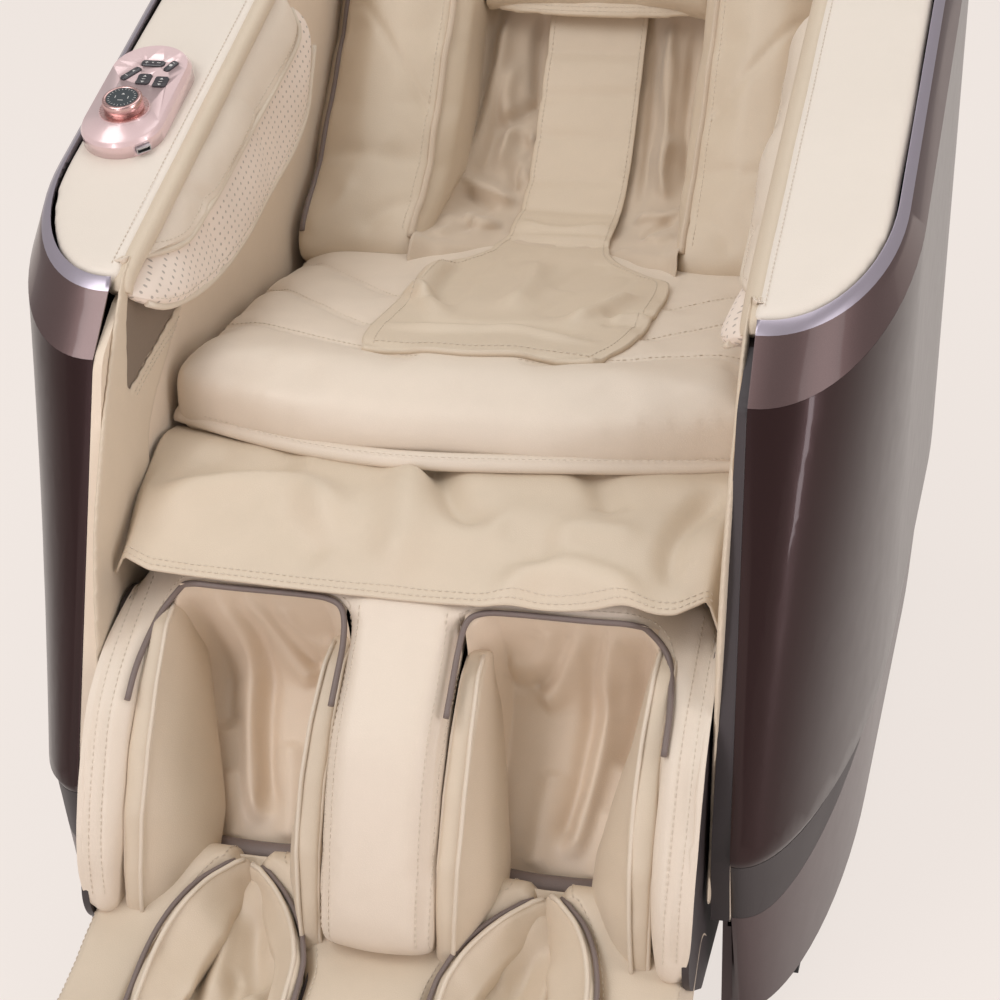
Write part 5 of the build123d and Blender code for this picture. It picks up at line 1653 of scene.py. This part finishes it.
# %% The node tree that sews
def sewing_tree():
    tree = bpy.data.node_groups.new("sew", "GeometryNodeTree")
    tree.interface.new_socket("Geometry", in_out="INPUT", socket_type="NodeSocketGeometry")
    length = tree.interface.new_socket("Length", in_out="INPUT", socket_type="NodeSocketFloat")
    radius = tree.interface.new_socket("Radius", in_out="INPUT", socket_type="NodeSocketFloat")
    finish = tree.interface.new_socket("Thread", in_out="INPUT", socket_type="NodeSocketMaterial")
    tree.interface.new_socket("Geometry", in_out="OUTPUT", socket_type="NodeSocketGeometry")
    new = tree.nodes.new
    start, end = new("NodeGroupInput"), new("NodeGroupOutput")
    run, away = new("GeometryNodeInputNamedAttribute"), new("GeometryNodeInputNamedAttribute")
    for node, label in ((run, "run"), (away, "away")):
        node.data_type = "FLOAT_VECTOR"
        node.inputs["Name"].default_value = label
    turn = new("FunctionNodeAxesToRotation")
    turn.primary_axis, turn.secondary_axis = "X", "Z"
    body = new("GeometryNodeMeshUVSphere")
    body.inputs["Segments"].default_value = 6
    body.inputs["Rings"].default_value = 4
    body.inputs["Radius"].default_value = 1.0
    size = new("ShaderNodeCombineXYZ")
    shape = new("GeometryNodeTransform")
    place = new("GeometryNodeInstanceOnPoints")
    solid = new("GeometryNodeRealizeInstances")
    paint = new("GeometryNodeSetMaterial")
    wire = tree.links.new
    half = new("ShaderNodeMath")
    half.operation = "MULTIPLY"
    half.inputs[1].default_value = 0.5
    wire(start.outputs["Length"], half.inputs[0])
    wire(half.outputs[0], size.inputs["X"])
    wire(start.outputs["Radius"], size.inputs["Y"])
    wire(start.outputs["Radius"], size.inputs["Z"])
    wire(body.outputs["Mesh"], shape.inputs["Geometry"])
    wire(size.outputs[0], shape.inputs["Scale"])
    wire(run.outputs["Attribute"], turn.inputs["Primary Axis"])
    wire(away.outputs["Attribute"], turn.inputs["Secondary Axis"])
    wire(start.outputs["Geometry"], place.inputs["Points"])
    wire(shape.outputs["Geometry"], place.inputs["Instance"])
    wire(turn.outputs[0], place.inputs["Rotation"])
    wire(place.outputs["Instances"], solid.inputs["Geometry"])
    wire(solid.outputs["Geometry"], paint.inputs["Geometry"])
    wire(start.outputs["Thread"], paint.inputs["Material"])
    wire(paint.outputs["Geometry"], end.inputs["Geometry"])
    return tree, length.identifier, radius.identifier, finish.identifier


sew, length_id, radius_id, thread_id = sewing_tree()
print("sewing tree", len(sew.nodes), "nodes")


# %% Sew every row
STITCH_PITCH, STITCH_LONG, STITCH_RADIUS = 0.0058, 0.0042, 0.00048


def spaced(row, pitch):
    """Places every pitch metres along a row, each with its run and its away direction."""
    points, normals = row
    long = run_lengths(points)
    at = np.arange(pitch / 2, long[-1], pitch)

    def column(values, where):
        return np.column_stack([np.interp(where, long, values[:, k]) for k in range(3)])

    here = column(points, at)
    run = column(points, at + pitch * 0.3) - column(points, at - pitch * 0.3)
    run /= np.maximum(np.linalg.norm(run, axis=1, keepdims=True), 1e-9)
    return here, run, column(normals, at)


for body, rows in sorted(stitch_rows.items()):
    found = [spaced(row, STITCH_PITCH) for row in rows if len(row[0]) > 2]
    here, run, away = (np.vstack([each[k] for each in found]) for k in range(3))
    cloud = bpy.data.meshes.new(f"stitches_{body}")
    cloud.from_pydata([tuple(point) for point in here], [], [])
    for label, values in (("run", run), ("away", away)):
        layer = cloud.attributes.new(label, "FLOAT_VECTOR", "POINT")
        layer.data.foreach_set("vector", values.astype(np.float32).ravel())
    piece = link(f"stitches_{body}", cloud)
    sewing = piece.modifiers.new("sew", "NODES")
    sewing.node_group = sew
    sewing[length_id], sewing[radius_id], sewing[thread_id] = STITCH_LONG, STITCH_RADIUS, thread
    bpy.context.view_layer.update()
    sewn = applied(piece)
    piece.modifiers.clear()
    piece.data = sewn
    bpy.data.meshes.remove(cloud)
    if not sewn.materials:
        sewn.materials.append(thread)
    for face in sewn.polygons:
        face.use_smooth = True
    dress(piece, body)
    print("stitches on", body, len(here), "faces", len(sewn.polygons))

# %% [markdown]
# ## Floor, light and camera
# The chair stands on a plain pale floor. Two broad lamps and a light room give soft shadows,
# and the camera looks down on the seat from the front right.

# %% Floor
PALE = (0.913, 0.839, 0.791)
FLOOR_HALF = 40
floor_mesh = bpy.data.meshes.new("floor")
corners = [(i * FLOOR_HALF, j * FLOOR_HALF, 0) for i, j in ((-1, -1), (1, -1), (1, 1), (-1, 1))]
floor_mesh.from_pydata(corners, [], [(0, 1, 2, 3)])
floor = bpy.data.objects.new("floor", floor_mesh)
bpy.context.scene.collection.objects.link(floor)
ground = Finish("pale_floor", PALE, 0.9)
paper = ground.node("ShaderNodeEmission", Color=(*PALE, 1), Strength=1.0)
rays = ground.node("ShaderNodeLightPath")
seen = ground.wire(rays, 0).math("MAXIMUM", ground.wire(rays, 3) * 0.75).math("MAXIMUM",
                                                                              ground.wire(rays, 6))
mixed = ground.node("ShaderNodeMixShader")
put(ground.tree, mixed.inputs[0], seen * 0.86)
ground.tree.links.new(ground.shader.outputs[0], mixed.inputs[1])
ground.tree.links.new(paper.outputs[0], mixed.inputs[2])
ground.tree.links.new(mixed.outputs[0], ground.tree.nodes["Material Output"].inputs["Surface"])
floor_mesh.materials.append(ground.material)

# %% Light
world = bpy.data.worlds.new("room")
bpy.context.scene.world = world
world.use_nodes = True
world.node_tree.nodes["Background"].inputs["Color"].default_value = (1.0, 0.965, 0.945, 1)
world.node_tree.nodes["Background"].inputs["Strength"].default_value = 0.40


def lamp(name, place, aim, size, watts, color):
    data = bpy.data.lights.new(name, "AREA")
    data.shape = "RECTANGLE"
    data.size, data.size_y = size
    data.energy = watts
    data.color = color
    lit = bpy.data.objects.new(name, data)
    lit.location = place
    lit.rotation_euler = (Vector(aim) - Vector(place)).to_track_quat("-Z", "Y").to_euler()
    bpy.context.scene.collection.objects.link(lit)


WHITE, ROSY = (1, 1, 1), (1.0, 0.92, 0.97)
LAMPS = [  # name, place, aim, size, watts, colour
    ("key", (-1.6, -2.2, 3.4), (0, -0.1, 0.4), (2.2, 2.2), 54, WHITE),
    ("fill", (2.6, -1.4, 2.2), (0.1, -0.1, 0.4), (1.6, 2.4), 20, WHITE),
    ("top", (0.0, 0.6, 3.6), (0, 0, 0.4), (2.4, 2.4), 25, WHITE),
    ("front_strip", (-0.85, -3.0, 0.8), (0.1, -0.4, 0.45), (0.5, 1.5), 14, ROSY),
    ("side_strip", (2.5, -1.2, 0.75), (0.3, -0.4, 0.45), (0.24, 1.3), 12, ROSY),
]
for row in LAMPS:
    lamp(*row)
print("lamps", len(LAMPS))

# %% Camera
camera_data = bpy.data.cameras.new("camera")
camera_data.sensor_width = 36.0
camera_data.lens = 90.875
CAMERA_PLACE = (0.52065, -2.28026, 1.34340)
camera = bpy.data.objects.new("camera", camera_data)
right = Vector((0.9723, 0.2325, -0.0225)).normalized()
ahead = Vector((-0.2188, 0.8725, -0.4369)).normalized()
upward = right.cross(ahead).normalized()
right = ahead.cross(upward)
rows = [(right[k], upward[k], -ahead[k], CAMERA_PLACE[k]) for k in range(3)]
camera.matrix_world = Matrix((*rows, (0, 0, 0, 1)))
bpy.context.scene.collection.objects.link(camera)
bpy.context.scene.camera = camera
bpy.context.scene.view_settings.view_transform = "Standard"
